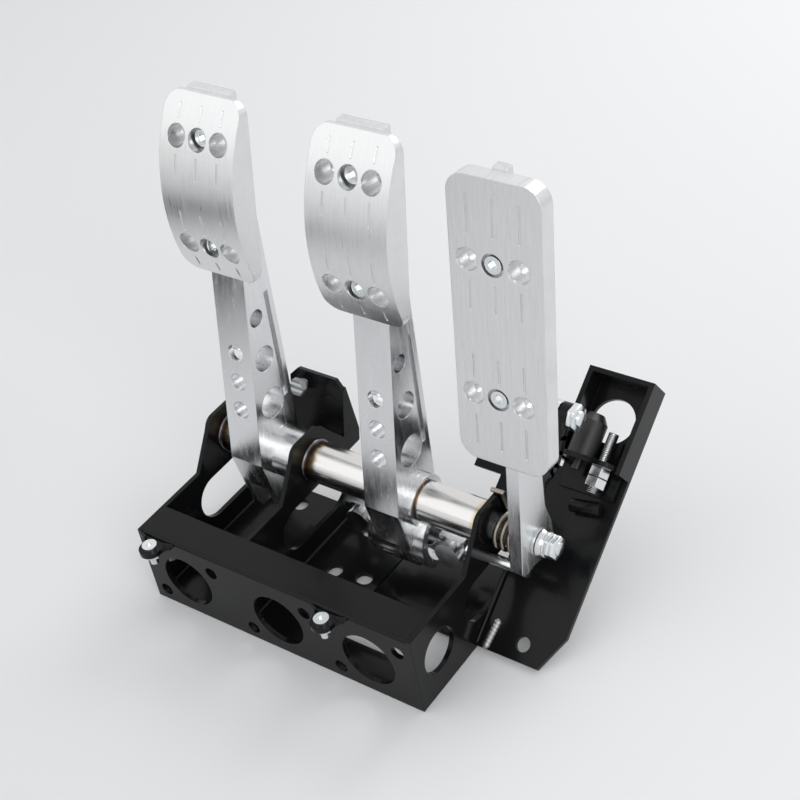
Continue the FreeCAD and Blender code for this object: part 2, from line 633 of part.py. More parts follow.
def curved_cheeks():
    """Two curved fingers beside the brake arm that guard the balance bar from the front."""
    y, z = push_centre()
    width = "arm_width + 2 * guard_width"
    left = "brake_x - arm_width / 2 - guard_width"
    ring = cut(
        "GuardRing",
        cylinder("GuardOuter", "guard_outer", width, (left, y, z), "x"),
        cylinder("GuardInner", "guard_inner", width + " + 2", (left + " - 1", y, z), "x"),
    )
    front_half = box("GuardFront", width, "guard_outer", "guard_outer + 17",
                     (left, y + " - guard_outer - 2", z + " - 17"))
    kept = doc.addObject("Part::MultiCommon", "GuardCheeks")
    kept.Shapes = [ring, front_half]
    spots = {"Left": left + " - 5", "Right": "brake_x + arm_width / 2 + 5"}
    reliefs = [
        cylinder("GuardRelief" + side, "guard_relief", "guard_width + 5", (start, "pivot_y", "pivot_z"), "x")
        for side, start in spots.items()
    ]
    return cut("GuardRelieved", kept, *reliefs)


def brake_arm():
    blade, head = pedal_arm("BrakeArm", "brake_x")
    y, z = push_centre()
    hub = cylinder("BrakeHub", "hub_radius", "arm_width / 2 + 5", ("brake_x", "pivot_y", "pivot_z"), "x")
    boss = cylinder("BrakeBoss", "boss_radius", "arm_width", ("brake_x - arm_width / 2", y, z), "x")
    tools = arm_cuts("BrakeArm", "brake_x")
    rows = ("pad_row_low", "pad_row_high")
    tools += screw_holes("BrakeArm", "brake_x", "arm_lean", "arm_front", "pad_start", rows)
    tools.append(cylinder("BrakeBore", "hub_bore", "80", ("brake_x - 40", "pivot_y", "pivot_z"), "x"))
    tools.append(cylinder("BrakeSleeveBore", "sleeve_radius + push_fit", "60", ("brake_x - 30", y, z), "x"))
    blank = fuse("BrakeArmBlank", blade, head, hub, boss, curved_cheeks())
    return keep(cut("BrakeArmCut", blank, *tools), "brake_arm")


def bushes(name, label, ends):
    """Flanged bronze bushes; each entry is the hub face and the way into the hub."""
    solids = []
    for number, (face, way) in enumerate(ends):
        sleeve_left = face if way > 0 else "%s - bush_length" % face
        flange_left = "%s - bush_flange_thick" % face if way > 0 else face
        sleeve = cylinder("%sSleeve%d" % (name, number), "hub_bore - push_fit", "bush_length",
                          (sleeve_left, "pivot_y", "pivot_z"), "x")
        flange = cylinder("%sFlange%d" % (name, number), "bush_flange", "bush_flange_thick",
                          (flange_left, "pivot_y", "pivot_z"), "x")
        bore = cylinder("%sBore%d" % (name, number), "pivot_bolt + running_fit", "bush_length + 6",
                        ("%s - 3" % sleeve_left, "pivot_y", "pivot_z"), "x")
        solids.append(cut("%sBush%d" % (name, number), fuse("%sBlank%d" % (name, number), sleeve, flange), bore))
    return keep(group(name, *solids) if len(solids) > 1 else solids[0], label)


def pad_turn(lean):
    return FreeCAD.Rotation(FreeCAD.Vector(1, 0, 0), value(lean) - 90)


def along_arm(lean, front, v, out):
    """Row-frame y and z of a point v up the arm's front face from the axis level, out towards the driver."""
    return (
        "pivot_y - %s + (%s) * cos(%s) - (%s) * sin(%s)" % (front, v, lean, out, lean),
        "pivot_z + (%s) * sin(%s) + (%s) * cos(%s)" % (v, lean, out, lean),
    )


def curved_pad(name, label, middle):
    """Billet pad: flat against the arm, bulging towards the driver, with six screw pockets."""
    body = doc.addObject("PartDesign::Body", name)
    sketch = body.newObject("Sketcher::SketchObject", name + "_profile")
    sketch.AttachmentSupport = (origin_plane(body, "YZ_Plane"), [""])
    sketch.MapMode = "FlatFace"
    corners = [("-pad_edge", "pad_length"), ("0", "pad_length"), ("0", "0"), ("-pad_edge", "0")]
    spots = [FreeCAD.Vector(value(a), value(b), 0) for a, b in corners]
    for i in range(3):
        sketch.addGeometry(Part.LineSegment(spots[i], spots[i + 1]), False)
    crown = FreeCAD.Vector(-value("pad_bulge"), value("pad_length") / 2, 0)
    sketch.addGeometry(Part.Arc(spots[3], crown, spots[0]), False)
    for i in range(2):
        sketch.addConstraint(Sketcher.Constraint("Coincident", i, 2, i + 1, 1))
    sketch.addConstraint(Sketcher.Constraint("Coincident", 2, 2, 3, 2))
    sketch.addConstraint(Sketcher.Constraint("Coincident", 3, 1, 0, 1))
    for i in range(3):
        hold(sketch, i, 1, corners[i])
    hold(sketch, 2, 2, corners[3])
    rise = "(pad_bulge - pad_edge)"
    radius = "(pad_length * pad_length / 4 + %s * %s) / (2 * %s)" % (rise, rise, rise)
    index = sketch.addConstraint(Sketcher.Constraint("Radius", 3, value(radius)))
    bind(sketch, "Constraints[%d]" % index, radius)
    block = body.newObject("PartDesign::Pad", name + "_block")
    block.Profile = sketch
    bind(block, "Length", "pad_width")
    block.Midplane = True
    doc.recompute()
    corner_names = []
    for number, edge in enumerate(block.Shape.Edges, start=1):
        ends = [vertex.Point for vertex in edge.Vertexes]
        if len(ends) == 2 and abs(ends[0].y - ends[1].y) > value("pad_edge") - 0.01 and \
                abs(ends[0].z - ends[1].z) < 0.01 and abs(ends[0].x - ends[1].x) < 0.01:
            corner_names.append("Edge%d" % number)
    rounded = body.newObject("PartDesign::Fillet", name + "_corners")
    rounded.Base = (block, corner_names)
    bind(rounded, "Radius", "pad_corner")
    body.Placement = FreeCAD.Placement(FreeCAD.Vector(), pad_turn("arm_lean"))
    y, z = along_arm("arm_lean", "arm_front", "pad_start", "0")
    place(body, (middle, y, z))
    doc.recompute()
    into = FreeCAD.Rotation(FreeCAD.Vector(1, 0, 0), value("arm_lean") - 90 + 90)
    tools = []
    for row, height in enumerate(("pad_row_low", "pad_row_high")):
        for column in (-1, 0, 1):
            x = "%s + %d * pad_hole_pitch" % (middle, column)
            tag = "%s%d%d" % (name, row, column + 1)
            y, z = along_arm("arm_lean", "arm_front", "pad_start + " + height, "pocket_floor")
            tools.append(cylinder(tag + "Pocket", "pad_hole", "pad_bulge", (x, y, z), turn=into))
            y, z = along_arm("arm_lean", "arm_front", "pad_start + " + height, "-1")
            tools.append(cylinder(tag + "Hole", "screw_shank + push_fit", "pad_bulge", (x, y, z), turn=into))
    return keep(cut(name + "Pad", body, *tools), label)


def pad_screws(name, label, middle, lean, front, start, rows, seat, hole):
    """Socket-head screws through the pad into the arm."""
    outward = FreeCAD.Rotation(FreeCAD.Vector(1, 0, 0), value(lean))
    solids = []
    for number, height in enumerate(rows):
        v = "%s + %s" % (start, height)
        y, z = along_arm(lean, front, v, "-screw_length")
        shank = cylinder("%sShank%d" % (name, number), "screw_shank", "screw_length + %s" % seat, (middle, y, z), turn=outward)
        y, z = along_arm(lean, front, v, seat)
        head = cylinder("%sHead%d" % (name, number), hole, "screw_head_height", (middle, y, z), turn=outward)
        y, z = along_arm(lean, front, v, "%s + screw_head_height / 2" % seat)
        key = hexagon("%sKey%d" % (name, number), "2 * screw_key", "screw_head_height", (middle, y, z), turn=outward)
        solids.append(cut("%sScrew%d" % (name, number), fuse("%sBlank%d" % (name, number), shank, head), key))
    return keep(group(name, *solids), label)


def screw_holes(name, middle, lean, front, start, rows):
    """Tapped holes in an arm for its pad screws."""
    outward = FreeCAD.Rotation(FreeCAD.Vector(1, 0, 0), value(lean))
    tools = []
    for number, height in enumerate(rows):
        y, z = along_arm(lean, front, "%s + %s" % (start, height), "-screw_length - 0.5")
        tools.append(cylinder("%sTapped%d" % (name, number), "screw_shank + push_fit", "screw_length + 2", (middle, y, z), turn=outward))
    return tools


def stop_bracket():
    """Clutch stop bracket: leaning face plate and the flange that stiffens its right side."""
    turn = FreeCAD.Rotation(FreeCAD.Vector(1, 0, 0), value("stop_plate_lean"))
    left, right = "-stop_plate_left", "wall - centre_plate"
    points = [
        (left, "-stop_plate_low"), (right, "-stop_plate_low"), (right, "stop_plate_high - 6"),
        (right + " - 6", "stop_plate_high"), (left + " + 6", "stop_plate_high"), (left, "stop_plate_high - 6"),
    ]
    hole = (("stop_bolt_x", "stop_bolt_v"), "stop_bolt + push_fit")
    spot = ("0", "stop_plate_y + wall * sin(stop_plate_lean)", "stop_plate_z - wall * cos(stop_plate_lean)")
    face = plate("StopFace", "XY_Plane", points, "wall", [hole], spot=spot, turn=turn)
    low = "stop_plate_z - stop_plate_low * sin(stop_plate_lean)"
    high = low + " + 44"
    flange_points = [
        (stop_face(low) + " + 1", low), (stop_face(low) + " + wall + stop_flange", low),
        (stop_face(low) + " + wall + stop_flange + 2", low + " + 8"), (stop_face(high) + " + wall", high),
        (stop_face(high) + " + 1", high),
    ]
    flange = plate("StopFlange", "YZ_Plane", flange_points, "wall", spot=("-centre_plate", "0", "0"))
    keep(fuse("StopBracket", face, flange), "clutch_stop_bracket")
    toward = FreeCAD.Rotation(FreeCAD.Vector(1, 0, 0), value("stop_plate_lean"))

    def at(depth):
        return (
            "stop_bolt_x",
            "stop_plate_y + stop_bolt_v * cos(stop_plate_lean) - (%s) * sin(stop_plate_lean)" % depth,
            "stop_plate_z + stop_bolt_v * sin(stop_plate_lean) + (%s) * cos(stop_plate_lean)" % depth,
        )

    shank = cylinder("StopBoltShank", "stop_bolt", "stop_bolt_reach + wall + 8", at("-wall - 8"), turn=toward)
    head = hexagon("StopBoltHead", "10", "4", at("stop_bolt_reach - 4"), turn=toward)
    keep(fuse("StopBolt", shank, head), "clutch_stop_bolt")
    nut = hexagon("StopNutBlank", "10", "5", at("-wall - 5"), turn=toward)
    bore = cylinder("StopNutBore", "stop_bolt + push_fit", "7", at("-wall - 6"), turn=toward)
    keep(cut("StopNut", nut, bore), "clutch_stop_nut")


def heel_lugs():
    """Two rounded lugs on the front face with their bolts and nuts, for a heel plate."""
    lugs, bolts = [], []
    level = "nose_height - nose_bend - wall"
    for name, middle in (("LugLeft", "lug_left"), ("LugRight", "lug_right")):
        block = box(name + "Block", "2 * lug_radius + 6", "lug_reach", "wall",
                    (middle + " - lug_radius - 3", "-lug_reach", level))
        wings = []
        for side, sign in (("A", "-"), ("B", "+")):
            wings.append(cylinder(name + "Wing" + side, "lug_reach", "wall + 2",
                                  ("%s %s (lug_radius + lug_reach)" % (middle, sign), "-lug_reach", level + " - 1")))
        eye = cylinder(name + "Eye", "lug_radius", "wall", (middle, "-lug_reach", level))
        bore = cylinder(name + "Bore", "lug_bolt + push_fit", "wall + 2", (middle, "-lug_reach", level + " - 1"))
        lugs.append(cut(name, fuse(name + "Blank", cut(name + "Foot", block, *wings), eye), bore))
        shank = cylinder(name + "Shank", "lug_bolt", "wall + 9", (middle, "-lug_reach", level + " - 9"))
        head = cylinder(name + "Head", "2 * lug_bolt - 0.5", "2.5", (middle, "-lug_reach", level + " + wall"))
        key = hexagon(name + "Key", "3", "3", (middle, "-lug_reach", level + " + wall + 1"))
        nut = hexagon(name + "Nut", "8", "4", (middle, "-lug_reach", level + " - 4"))
        bolts.append(cut(name + "Bolt", fuse(name + "BoltBlank", shank, head, nut), key))
    keep(group("HeelLugs", *lugs), "heel_lugs")
    keep(group("HeelLugBolts", *bolts), "heel_lug_bolts")


def pivot_hardware():
    """Long bolt through all three pedals, its washers, spacers and nut."""
    y, z = "pivot_y", "pivot_z"
    left, right = "-frame_width / 2", HALF
    arm_left, arm_right = "throttle_x - t_arm_width / 2", "throttle_x + t_arm_width / 2"
    spacer_start = arm_right + " + side_gap"
    washer_start = spacer_start + " + spacer_length"
    nut_start = washer_start + " + washer_thick"
    length = "(%s + nut_height + bolt_tail) - (%s)" % (nut_start, left)
    shank = cylinder("PivotShank", "pivot_bolt", length, (left, y, z), "x")
    head = hexagon("PivotHead", "nut_flats", "nut_height", (left + " - nut_height", y, z), "x")
    keep(fuse("PivotBolt", shank, head), "pivot_bolt")
    keep(ring("ThrottleSpacer", "spacer_radius", "spacer_length", (spacer_start, y, z)), "throttle_spacer")
    keep(ring("PivotWasher", "washer_radius", "washer_thick", (washer_start, y, z)), "pivot_washer")
    nut = hexagon("PivotNutBlank", "nut_flats", "nut_height", (nut_start, y, z), "x")
    bore = cylinder("PivotNutBore", "pivot_bolt + push_fit", "nut_height + 2", (nut_start + " - 1", y, z), "x")
    keep(cut("PivotNut", nut, bore), "pivot_nut")
    inner_length = "%s - bush_flange_thick - side_gap - (%s)" % (arm_left, right)
    keep(ring("SpringSpacer", "spring_mean - spring_wire - 0.7", inner_length, (right, y, z)), "spring_spacer")


def ring(name, radius, length, spot):
    """A turned ring on the pivot bolt."""
    x, y, z = spot
    outer = cylinder(name + "Outer", radius, length, spot, "x")
    bore = cylinder(name + "Inner", "pivot_bolt + push_fit", "%s + 2" % length, ("(%s) - 1" % x, y, z), "x")
    return cut(name, outer, bore)


def clutch_pin():
    y, z = push_centre()
    left = "clutch_x - arm_width / 2"
    pin = cylinder("ClutchPinShank", "clevis_pin", "arm_width + 4", (left, y, z), "x")
    head = cylinder("ClutchPinHead", "clevis_pin + 1.5", "1.5", (left + " - 1.5", y, z), "x")
    keep(fuse("ClutchPin", pin, head), "clutch_pin")
    clip = cylinder("ClutchClipOuter", "clevis_pin + 2", "1", (left + " + arm_width", y, z), "x")
    bore = cylinder("ClutchClipInner", "clevis_pin + push_fit", "3", (left + " + arm_width - 1", y, z), "x")
    keep(cut("ClutchClip", clip, bore), "clutch_pin_clip")


def balance_bar():
    """Bearing sleeve and ball in the brake arm, the bar with trunnions, nuts and two push clevises."""
    y, z = push_centre()
    length = "arm_width + 2 * sleeve_overhang"
    left = "brake_x - arm_width / 2 - sleeve_overhang"
    sleeve = cylinder("SleeveOuter", "sleeve_radius", length, (left, y, z), "x")
    bore = cylinder("SleeveInner", "sleeve_bore + running_fit", length + " + 2", (left + " - 1", y, z), "x")
    keep(cut("BearingSleeve", sleeve, bore), "bearing_sleeve")
    whole = sphere("BallWhole", "ball_radius", ("brake_x", y, z))
    whole.Placement = FreeCAD.Placement(whole.Placement.Base, TURNS["x"])
    place(whole, ("brake_x", y, z))
    width = box("BallWidth", "2 * ball_half", "40", "40", ("brake_x - ball_half", y + " - 20", z + " - 20"))
    ball = doc.addObject("Part::MultiCommon", "BallCut")
    ball.Shapes = [whole, width]
    ball_bore = cylinder("BallBore", "bar_radius + running_fit", "40", ("brake_x - 20", y, z), "x")
    keep(cut("BalanceBearing", ball, ball_bore), "balance_bearing")
    keep(cylinder("BalanceBar", "bar_radius", "bar_length", ("brake_x - bar_length / 2", y, z), "x"), "balance_bar")
    nuts, trunnions = [], []
    height = "bar_radius + 0.6 + clevis_wall"
    for name, sign in (("Left", "-"), ("Right", "+")):
        middle = "brake_x %s cylinder_pitch / 2" % sign
        block = cylinder("Trunnion" + name + "Blank", "trunnion_radius", "2 * (%s)" % height,
                         (middle, y, "%s - (%s)" % (z, height)))
        hole = cylinder("Trunnion" + name + "Bore", "bar_radius + push_fit", "30", (middle + " - 15", y, z), "x")
        trunnions.append(cut("Trunnion" + name, block, hole))
        near_side = middle + (" + clevis_outer + nut_gap" if sign == "+" else " - clevis_outer - nut_gap - 5")
        nut = hexagon("BarNut" + name + "Blank", "15", "5", (near_side, y, z), "x")
        nut_bore = cylinder("BarNut" + name + "Bore", "bar_radius + push_fit", "9", (near_side + " - 2", y, z), "x")
        nuts.append(cut("BarNut" + name, nut, nut_bore))
        push_clevis("PushClevis" + name, "push_clevis_" + name.lower(), middle, height)
    keep(group("Trunnions", *trunnions), "balance_trunnions")
    keep(group("BarNuts", *nuts), "balance_bar_nuts")


def push_clevis(name, label, middle, height):
    """Fork round a trunnion with the flat round face that pushes a cylinder's rod."""
    y, z = push_centre()
    front = y + " - clevis_length"
    web = "clevis_length - trunnion_radius - 0.5"
    face = cylinder(name + "Face", "clevis_outer", web, (middle, front, z), "y")
    parts = [face]
    for side, low in (("Lower", "%s - (%s)" % (z, height)), ("Upper", "%s + bar_radius + 0.6" % z)):
        inner = "%s + %s - 2" % (front, web)
        parts.append(box(name + side + "Cheek", "2 * clevis_outer", "trunnion_radius + 2.5", "clevis_wall",
                         (middle + " - clevis_outer", inner, low)))
        parts.append(cylinder(name + side + "End", "clevis_outer", "clevis_wall", (middle, y, low)))
    hole = cylinder(name + "Bore", "trunnion_radius + running_fit", "40", (middle, y, z + " - 20"))
    keep(cut(name, fuse(name + "Blank", *parts), hole), label)


def throttle_front(height):
    """Front edge of the throttle arm at a height above the axis, measured from the axis."""
    return "-t_arm_front + (%s) / tan(t_arm_lean)" % height


def throttle_arm():
    points = [
        ("pivot_y + " + throttle_front("-6"), "pivot_z - 6"),
        ("pivot_y + " + throttle_front("-6") + " + 4", "pivot_z - t_arm_foot"),
        ("pivot_y - 8", "pivot_z - t_arm_foot"),
        ("pivot_y + 5", "pivot_z - t_arm_hub"),
        ("pivot_y + t_arm_hub", "pivot_z - 6"),
        ("pivot_y + t_arm_hub", "pivot_z + 6"),
        ("pivot_y + t_arm_waist", "pivot_z + 22"),
        ("pivot_y + " + throttle_front("t_arm_reach") + " + t_arm_top", "pivot_z + t_arm_reach"),
        ("pivot_y + " + throttle_front("t_arm_reach"), "pivot_z + t_arm_reach"),
    ]
    bore = [(("pivot_y", "pivot_z"), "hub_bore - 0.5")]
    blade = plate("ThrottleArm", "YZ_Plane", points, "t_arm_width", bore, spot=("throttle_x - t_arm_width / 2", "0", "0"))
    rows = ("t_row_low", "t_row_high")
    tools = screw_holes("ThrottleArm", "throttle_x", "t_arm_lean", "t_arm_front", "t_pad_start", rows)
    keep(cut("ThrottleArmCut", blade, *tools), "throttle_arm")


def throttle_bush():
    left = "throttle_x - t_arm_width / 2"
    y, z = "pivot_y", "pivot_z"
    sleeve = cylinder("ThrottleSleeve", "hub_bore - 0.5 - push_fit", "t_arm_width", (left, y, z), "x")
    flange = cylinder("ThrottleFlange", "bush_flange", "bush_flange_thick", (left + " - bush_flange_thick", y, z), "x")
    bore = cylinder("ThrottleBushBore", "pivot_bolt + running_fit", "30", (left + " - 10", y, z), "x")
    keep(cut("ThrottleBush", fuse("ThrottleBushBlank", sleeve, flange), bore), "throttle_bush")


def throttle_pad():
    """Flat pad: rounded plate with two rows of three countersunk holes."""
    half = "t_pad_width / 2"
    points = [("-" + half, "0"), (half, "0"), (half, "t_pad_length"), ("-" + half, "t_pad_length")]
    turn = FreeCAD.Rotation(FreeCAD.Vector(1, 0, 0), value("t_arm_lean"))
    y, z = along_arm("t_arm_lean", "t_arm_front", "t_pad_start", "0")
    body = plate("ThrottlePad", "XY_Plane", points, "t_pad_thick", spot=("throttle_x + 2", y, z), turn=turn)
    round_corners(body, points, "t_pad_corner", "XY")
    tools = []
    for row, height in enumerate(("t_row_low", "t_row_high")):
        for column in (-1, 0, 1):
            x = "throttle_x + %d * pad_hole_pitch" % column
            tag = "ThrottlePad%d%d" % (row, column + 1)
            y, z = along_arm("t_arm_lean", "t_arm_front", "t_pad_start + " + height, "-1")
            tools.append(cylinder(tag + "Hole", "screw_shank + push_fit", "30", (x, y, z), turn=turn))
            y, z = along_arm("t_arm_lean", "t_arm_front", "t_pad_start + " + height, "t_pad_thick - screw_head_height - 0.5")
            tools.append(cylinder(tag + "Pocket", "pad_hole", "20", (x, y, z), turn=turn))
    keep(cut("ThrottlePadCut", body, *tools), "throttle_pad")


def lever_spot():
    """Row-frame y and z of the cable clamp at the end of the lever."""
    return ("pivot_y + lever_radius * cos(lever_angle)", "pivot_z + lever_radius * sin(lever_angle)")


def cable_lever():
    """Curved strip behind the throttle arm that carries the cable clamp."""
    y, z = lever_spot()
    points = [
        (y + " - 36.1", z + " - 22.5"), (y + " - 26", z + " - 24.5"), (y + " - 16.5", z + " - 20"),
        (y + " - 9", z + " - 11"), (y + " - 4.5", z + " - 1"), (y + " + 4.5", z + " - 2"),
        (y + " - 2.5", z + " - 15"), (y + " - 11.5", z + " - 25.5"), (y + " - 24.5", z + " - 31.5"),
        (y + " - 36.1", z + " - 30"),
    ]
    left = "throttle_x + 1 - lever_width / 2"
    strip = plate("LeverStrip", "YZ_Plane", points, "lever_width", spot=(left, "0", "0"))
    eye = cylinder("LeverEye", "clamp_radius + 2.5", "lever_width", (left, y, z), "x")
    bore = cylinder("LeverBore", "clamp_radius + running_fit", "40", ("throttle_x - 20", y, z), "x")
    foot_points = [
        ("pivot_y + t_arm_waist - 2", z + " - 33"), (y + " - 35", z + " - 33"),
        (y + " - 35", z + " - 21"), ("pivot_y + t_arm_waist - 2", z + " - 21"),
    ]
    foot = plate("LeverFoot", "YZ_Plane", foot_points, "3", spot=("throttle_x + t_arm_width / 2", "0", "0"))
    screw = ("pivot_y + t_arm_waist - 4", z + " - 27")
    tab = cylinder("LeverTab", "6", "3", ("throttle_x + t_arm_width / 2",) + screw, "x")
    keep(cut("CableLever", fuse("LeverBlank", strip, eye, foot, tab), bore), "cable_lever")


def cable_clamp():
    """Swivelling barrel that grips the throttle wire, with its screw."""
    y, z = lever_spot()
    left = "throttle_x + 1 - lever_width / 2"
    pin = cylinder("ClampPin", "clamp_radius", "lever_width + 8", (left + " - 1", y, z), "x")
    barrel = cylinder("ClampBarrel", "clamp_radius + 2", "9", (left + " - 9.3", y, z), "x")
    cap = hexagon("ClampCap", "13", "5", (left + " + lever_width + 0.3", y, z), "x")
    wire = cylinder("ClampWire", "clamp_hole", "40", (left + " - 5", y, z + " - 20"))
    screw_y = y + " - clamp_radius - 5"
    tapped = cylinder("ClampTapped", "2 + push_fit", "10", (left + " - 5", screw_y, z), "y")
    keep(cut("CableClamp", fuse("ClampBlank", pin, barrel, cap), wire, tapped), "cable_clamp")
    shank = cylinder("ClampScrewShank", "2", "8", (left + " - 5", screw_y, z), "y")
    head = hexagon("ClampScrewHead", "7", "3", (left + " - 5", screw_y, z), "y")
    keep(fuse("ClampScrew", shank, head), "cable_clamp_screw")


def throttle_stop():
    """Stop bracket on the throttle plate with its buffer, threaded stud and two nuts."""
    turn = ramp_turn()
    along = FreeCAD.Rotation(FreeCAD.Vector(1, 0, 0), value("ramp_angle") - 90)
    points = [
        ("stand_v + wall - stand_foot - wall", "0"), ("stand_v + wall", "0"), ("stand_v + wall", "stand_height"),
        ("stand_v", "stand_height"), ("stand_v", "wall"), ("stand_v - stand_foot", "wall"),
    ]
    body = plate("StopStand", "YZ_Plane", points, "stand_right - stand_left", spot=on_ramp("stand_left", "0", "0"), turn=turn)
    base = body.Tip
    names = []
    for number, edge in enumerate(base.Shape.Edges, start=1):
        ends = [vertex.Point for vertex in edge.Vertexes]
        level = all(near("stand_height", end.z) for end in ends)
        if level and abs(ends[0].x - ends[1].x) < 0.01:
            names.append("Edge%d" % number)
    fillet = body.newObject("PartDesign::Fillet", "StopStandFillet")
    fillet.Base = (base, names)
    bind(fillet, "Radius", "ear_radius")
    doc.recompute()
    stud_hole = cylinder("StandStudHole", "stud_radius + push_fit", "20",
                         on_ramp("stud_x", "stand_v - 10", "buffer_height"), turn=along)
    buffer_hole = cylinder("StandBufferHole", "2.5 + push_fit", "20",
                           on_ramp("buffer_x", "stand_v - 10", "buffer_height"), turn=along)
    keep(cut("StopStandCut", body, stud_hole, buffer_hole), "throttle_stop_bracket")
    start = "stand_v + wall"
    drum = cylinder("BufferDrum", "buffer_radius", "buffer_length - 5",
                    on_ramp("buffer_x", start, "buffer_height"), turn=along)
    dome = cone("BufferDome", "buffer_radius", "buffer_radius - 3.5", "5",
                on_ramp("buffer_x", start + " + buffer_length - 5", "buffer_height"), turn=along)
    pin = cylinder("BufferPin", "2.5", "wall + 5", on_ramp("buffer_x", "stand_v - 5", "buffer_height"), turn=along)
    keep(fuse("StopBuffer", drum, dome, pin), "throttle_stop_buffer")
    keep(cylinder("StopStud", "stud_radius", "stud_length", on_ramp("stud_x", "stand_v - stud_front", "buffer_height"),
                  turn=along), "throttle_stop_stud")
    nuts = []
    for number, place_v in enumerate(("stand_v - 5.5", "stand_v - 11.7")):
        nut = hexagon("StopNut%dBlank" % number, "11", "5.5", on_ramp("stud_x", place_v, "buffer_height"), turn=along)
        bore = cylinder("StopNut%dBore" % number, "stud_radius + push_fit", "9",
                        on_ramp("stud_x", place_v + " - 1", "buffer_height"), turn=along)
        nuts.append(cut("StopNut%d" % number, nut, bore))
    keep(group("StopNuts", *nuts), "throttle_stop_nuts")


def return_spring():
    """Torsion spring round the pivot bolt, of tangent half turns; one leg hooks over the right ear."""
    first = "half_width + spring_wire + 0.8"
    halves = []
    lead = value("spring_pitch") / 4
    for turn in range(round(2 * value("spring_turns"))):
        down = turn % 2 == 0
        outward = FreeCAD.Vector(-lead, value("spring_mean") if down else -value("spring_mean"), 0)
        travel = FreeCAD.Vector(0, 0, -1 if down else 1)
        half = doc.addObject("Part::Torus", "SpringHalf%d" % turn)
        half.Angle3 = 180
        bind(half, "Radius1", "sqrt(spring_mean ^ 2 + (spring_pitch / 4) ^ 2)")
        bind(half, "Radius2", "spring_wire")
        half.Placement = FreeCAD.Placement(FreeCAD.Vector(), FreeCAD.Rotation(outward, travel, outward.cross(travel), "XYZ"))
        place(half, ("%s + %s * spring_pitch" % (first, (turn + 0.5) / 2), "pivot_y", "pivot_z"))
        halves.append(half)
    rear = "pivot_y + spring_mean"
    hook_y, hook_z = "pivot_y + 5.5", "ear_top + spring_wire - 0.2"
    across = value(hook_y) - value(rear)
    rise = value(hook_z) - value("pivot_z")
    lean = FreeCAD.Rotation(FreeCAD.Vector(0, 0, 1), FreeCAD.Vector(0, across, rise))
    leg_length = "sqrt((%s - pivot_z) ^ 2 + (%s - (%s)) ^ 2)" % (hook_z, rear, hook_y)
    wire = "spring_wire * 0.97"
    leg = cylinder("SpringFixedLeg", wire, leg_length, (first, rear, "pivot_z"), turn=lean)
    hook = cylinder("SpringHook", wire, "7 + spring_wire", ("%s - 7" % first, hook_y, hook_z), "x")
    last = first + " + spring_turns * spring_pitch"
    free = cylinder("SpringFreeLeg", wire, "20", (last, "pivot_y - spring_mean", "pivot_z - 0.6"))
    keep(fuse("ReturnSpring", *halves, leg, hook, free), "return_spring")


nose_channel()
side_plate("SidePlateLeft", "side_plate_left", "-frame_width / 2", "0", True)
side_plate("SidePlateCentre", "side_plate_centre", "-centre_plate", "wall", False)
side_plate("SidePlateRight", "side_plate_right", INNER, "0", True)
floor_holes_left = [(("floor_bolt_left", "floor_bolt_front"), "floor_bolt"),
                    (("floor_bolt_left", "floor_bolt_front + floor_bolt_pitch"), "floor_bolt")]
floor_holes_centre = [(("floor_bolt_right", "floor_bolt_front"), "floor_bolt"),
                      (("floor_bolt_right", "floor_bolt_front + floor_bolt_pitch"), "floor_bolt")]
floor_plate("FloorPlateLeft", "floor_plate_left", "wall - frame_width / 2", "-centre_plate", floor_holes_left, [])
floor_plate("FloorPlateCentre", "floor_plate_centre", "wall - centre_plate", "floor_right", floor_holes_centre,
            [("5", "16", "floor_bolt_front - 2", "floor_bolt_front + 7")])
arm_half = "arm_width / 2 + bush_flange_thick + side_gap"
cross_tube("TubeLeft", "cross_tube_left", "wall - frame_width / 2", "clutch_x - (%s)" % arm_half)
cross_tube("TubeCentre", "cross_tube_centre", "wall - centre_plate", "brake_x - (%s)" % arm_half)
cross_tube("TubeRight", "cross_tube_right", "brake_x + %s + 5" % arm_half, INNER)
ramp = throttle_plate()
keep(fuse("ThrottlePlateTray", ramp, *tray_flanges()), "throttle_plate")
stop_bracket()
heel_lugs()
pivot_hardware()
keep(cylinder("StopRod", "rod_radius", "rod_right - rod_left", ("rod_left", "pivot_y + rod_y", "pivot_z + rod_z"), "x"),
     "throttle_stop_rod")
throttle_stop()
return_spring()

clutch_arm()
hub_left, hub_right = "clutch_x - arm_width / 2", "-centre_plate - side_gap - bush_flange_thick"
bushes("ClutchBush", "clutch_bushes", [(hub_left, 1), (hub_right, -1)])
curved_pad("ClutchPad", "clutch_pad", "clutch_x")
clutch_pin()

brake_arm()
bushes("BrakeBush", "brake_bushes", [("brake_x - arm_width / 2", 1), ("brake_x + arm_width / 2 + 5", -1)])
curved_pad("BrakePad", "brake_pad", "brake_x")
balance_bar()
for tag, label, middle in (("ClutchPad", "clutch_pad_screws", "clutch_x"), ("BrakePad", "brake_pad_screws", "brake_x")):
    pad_screws(tag, label, middle, "arm_lean", "arm_front", "pad_start", ("pad_row_low", "pad_row_high"),
               "pocket_floor", "screw_head")

throttle_arm()
throttle_bush()
throttle_pad()
pad_screws("ThrottlePad", "throttle_pad_screws", "throttle_x", "t_arm_lean", "t_arm_front", "t_pad_start",
           ("t_row_low", "t_row_high"), "t_pad_thick - screw_head_height - 0.5", "screw_head")
cable_lever()
cable_clamp()
doc.recompute()

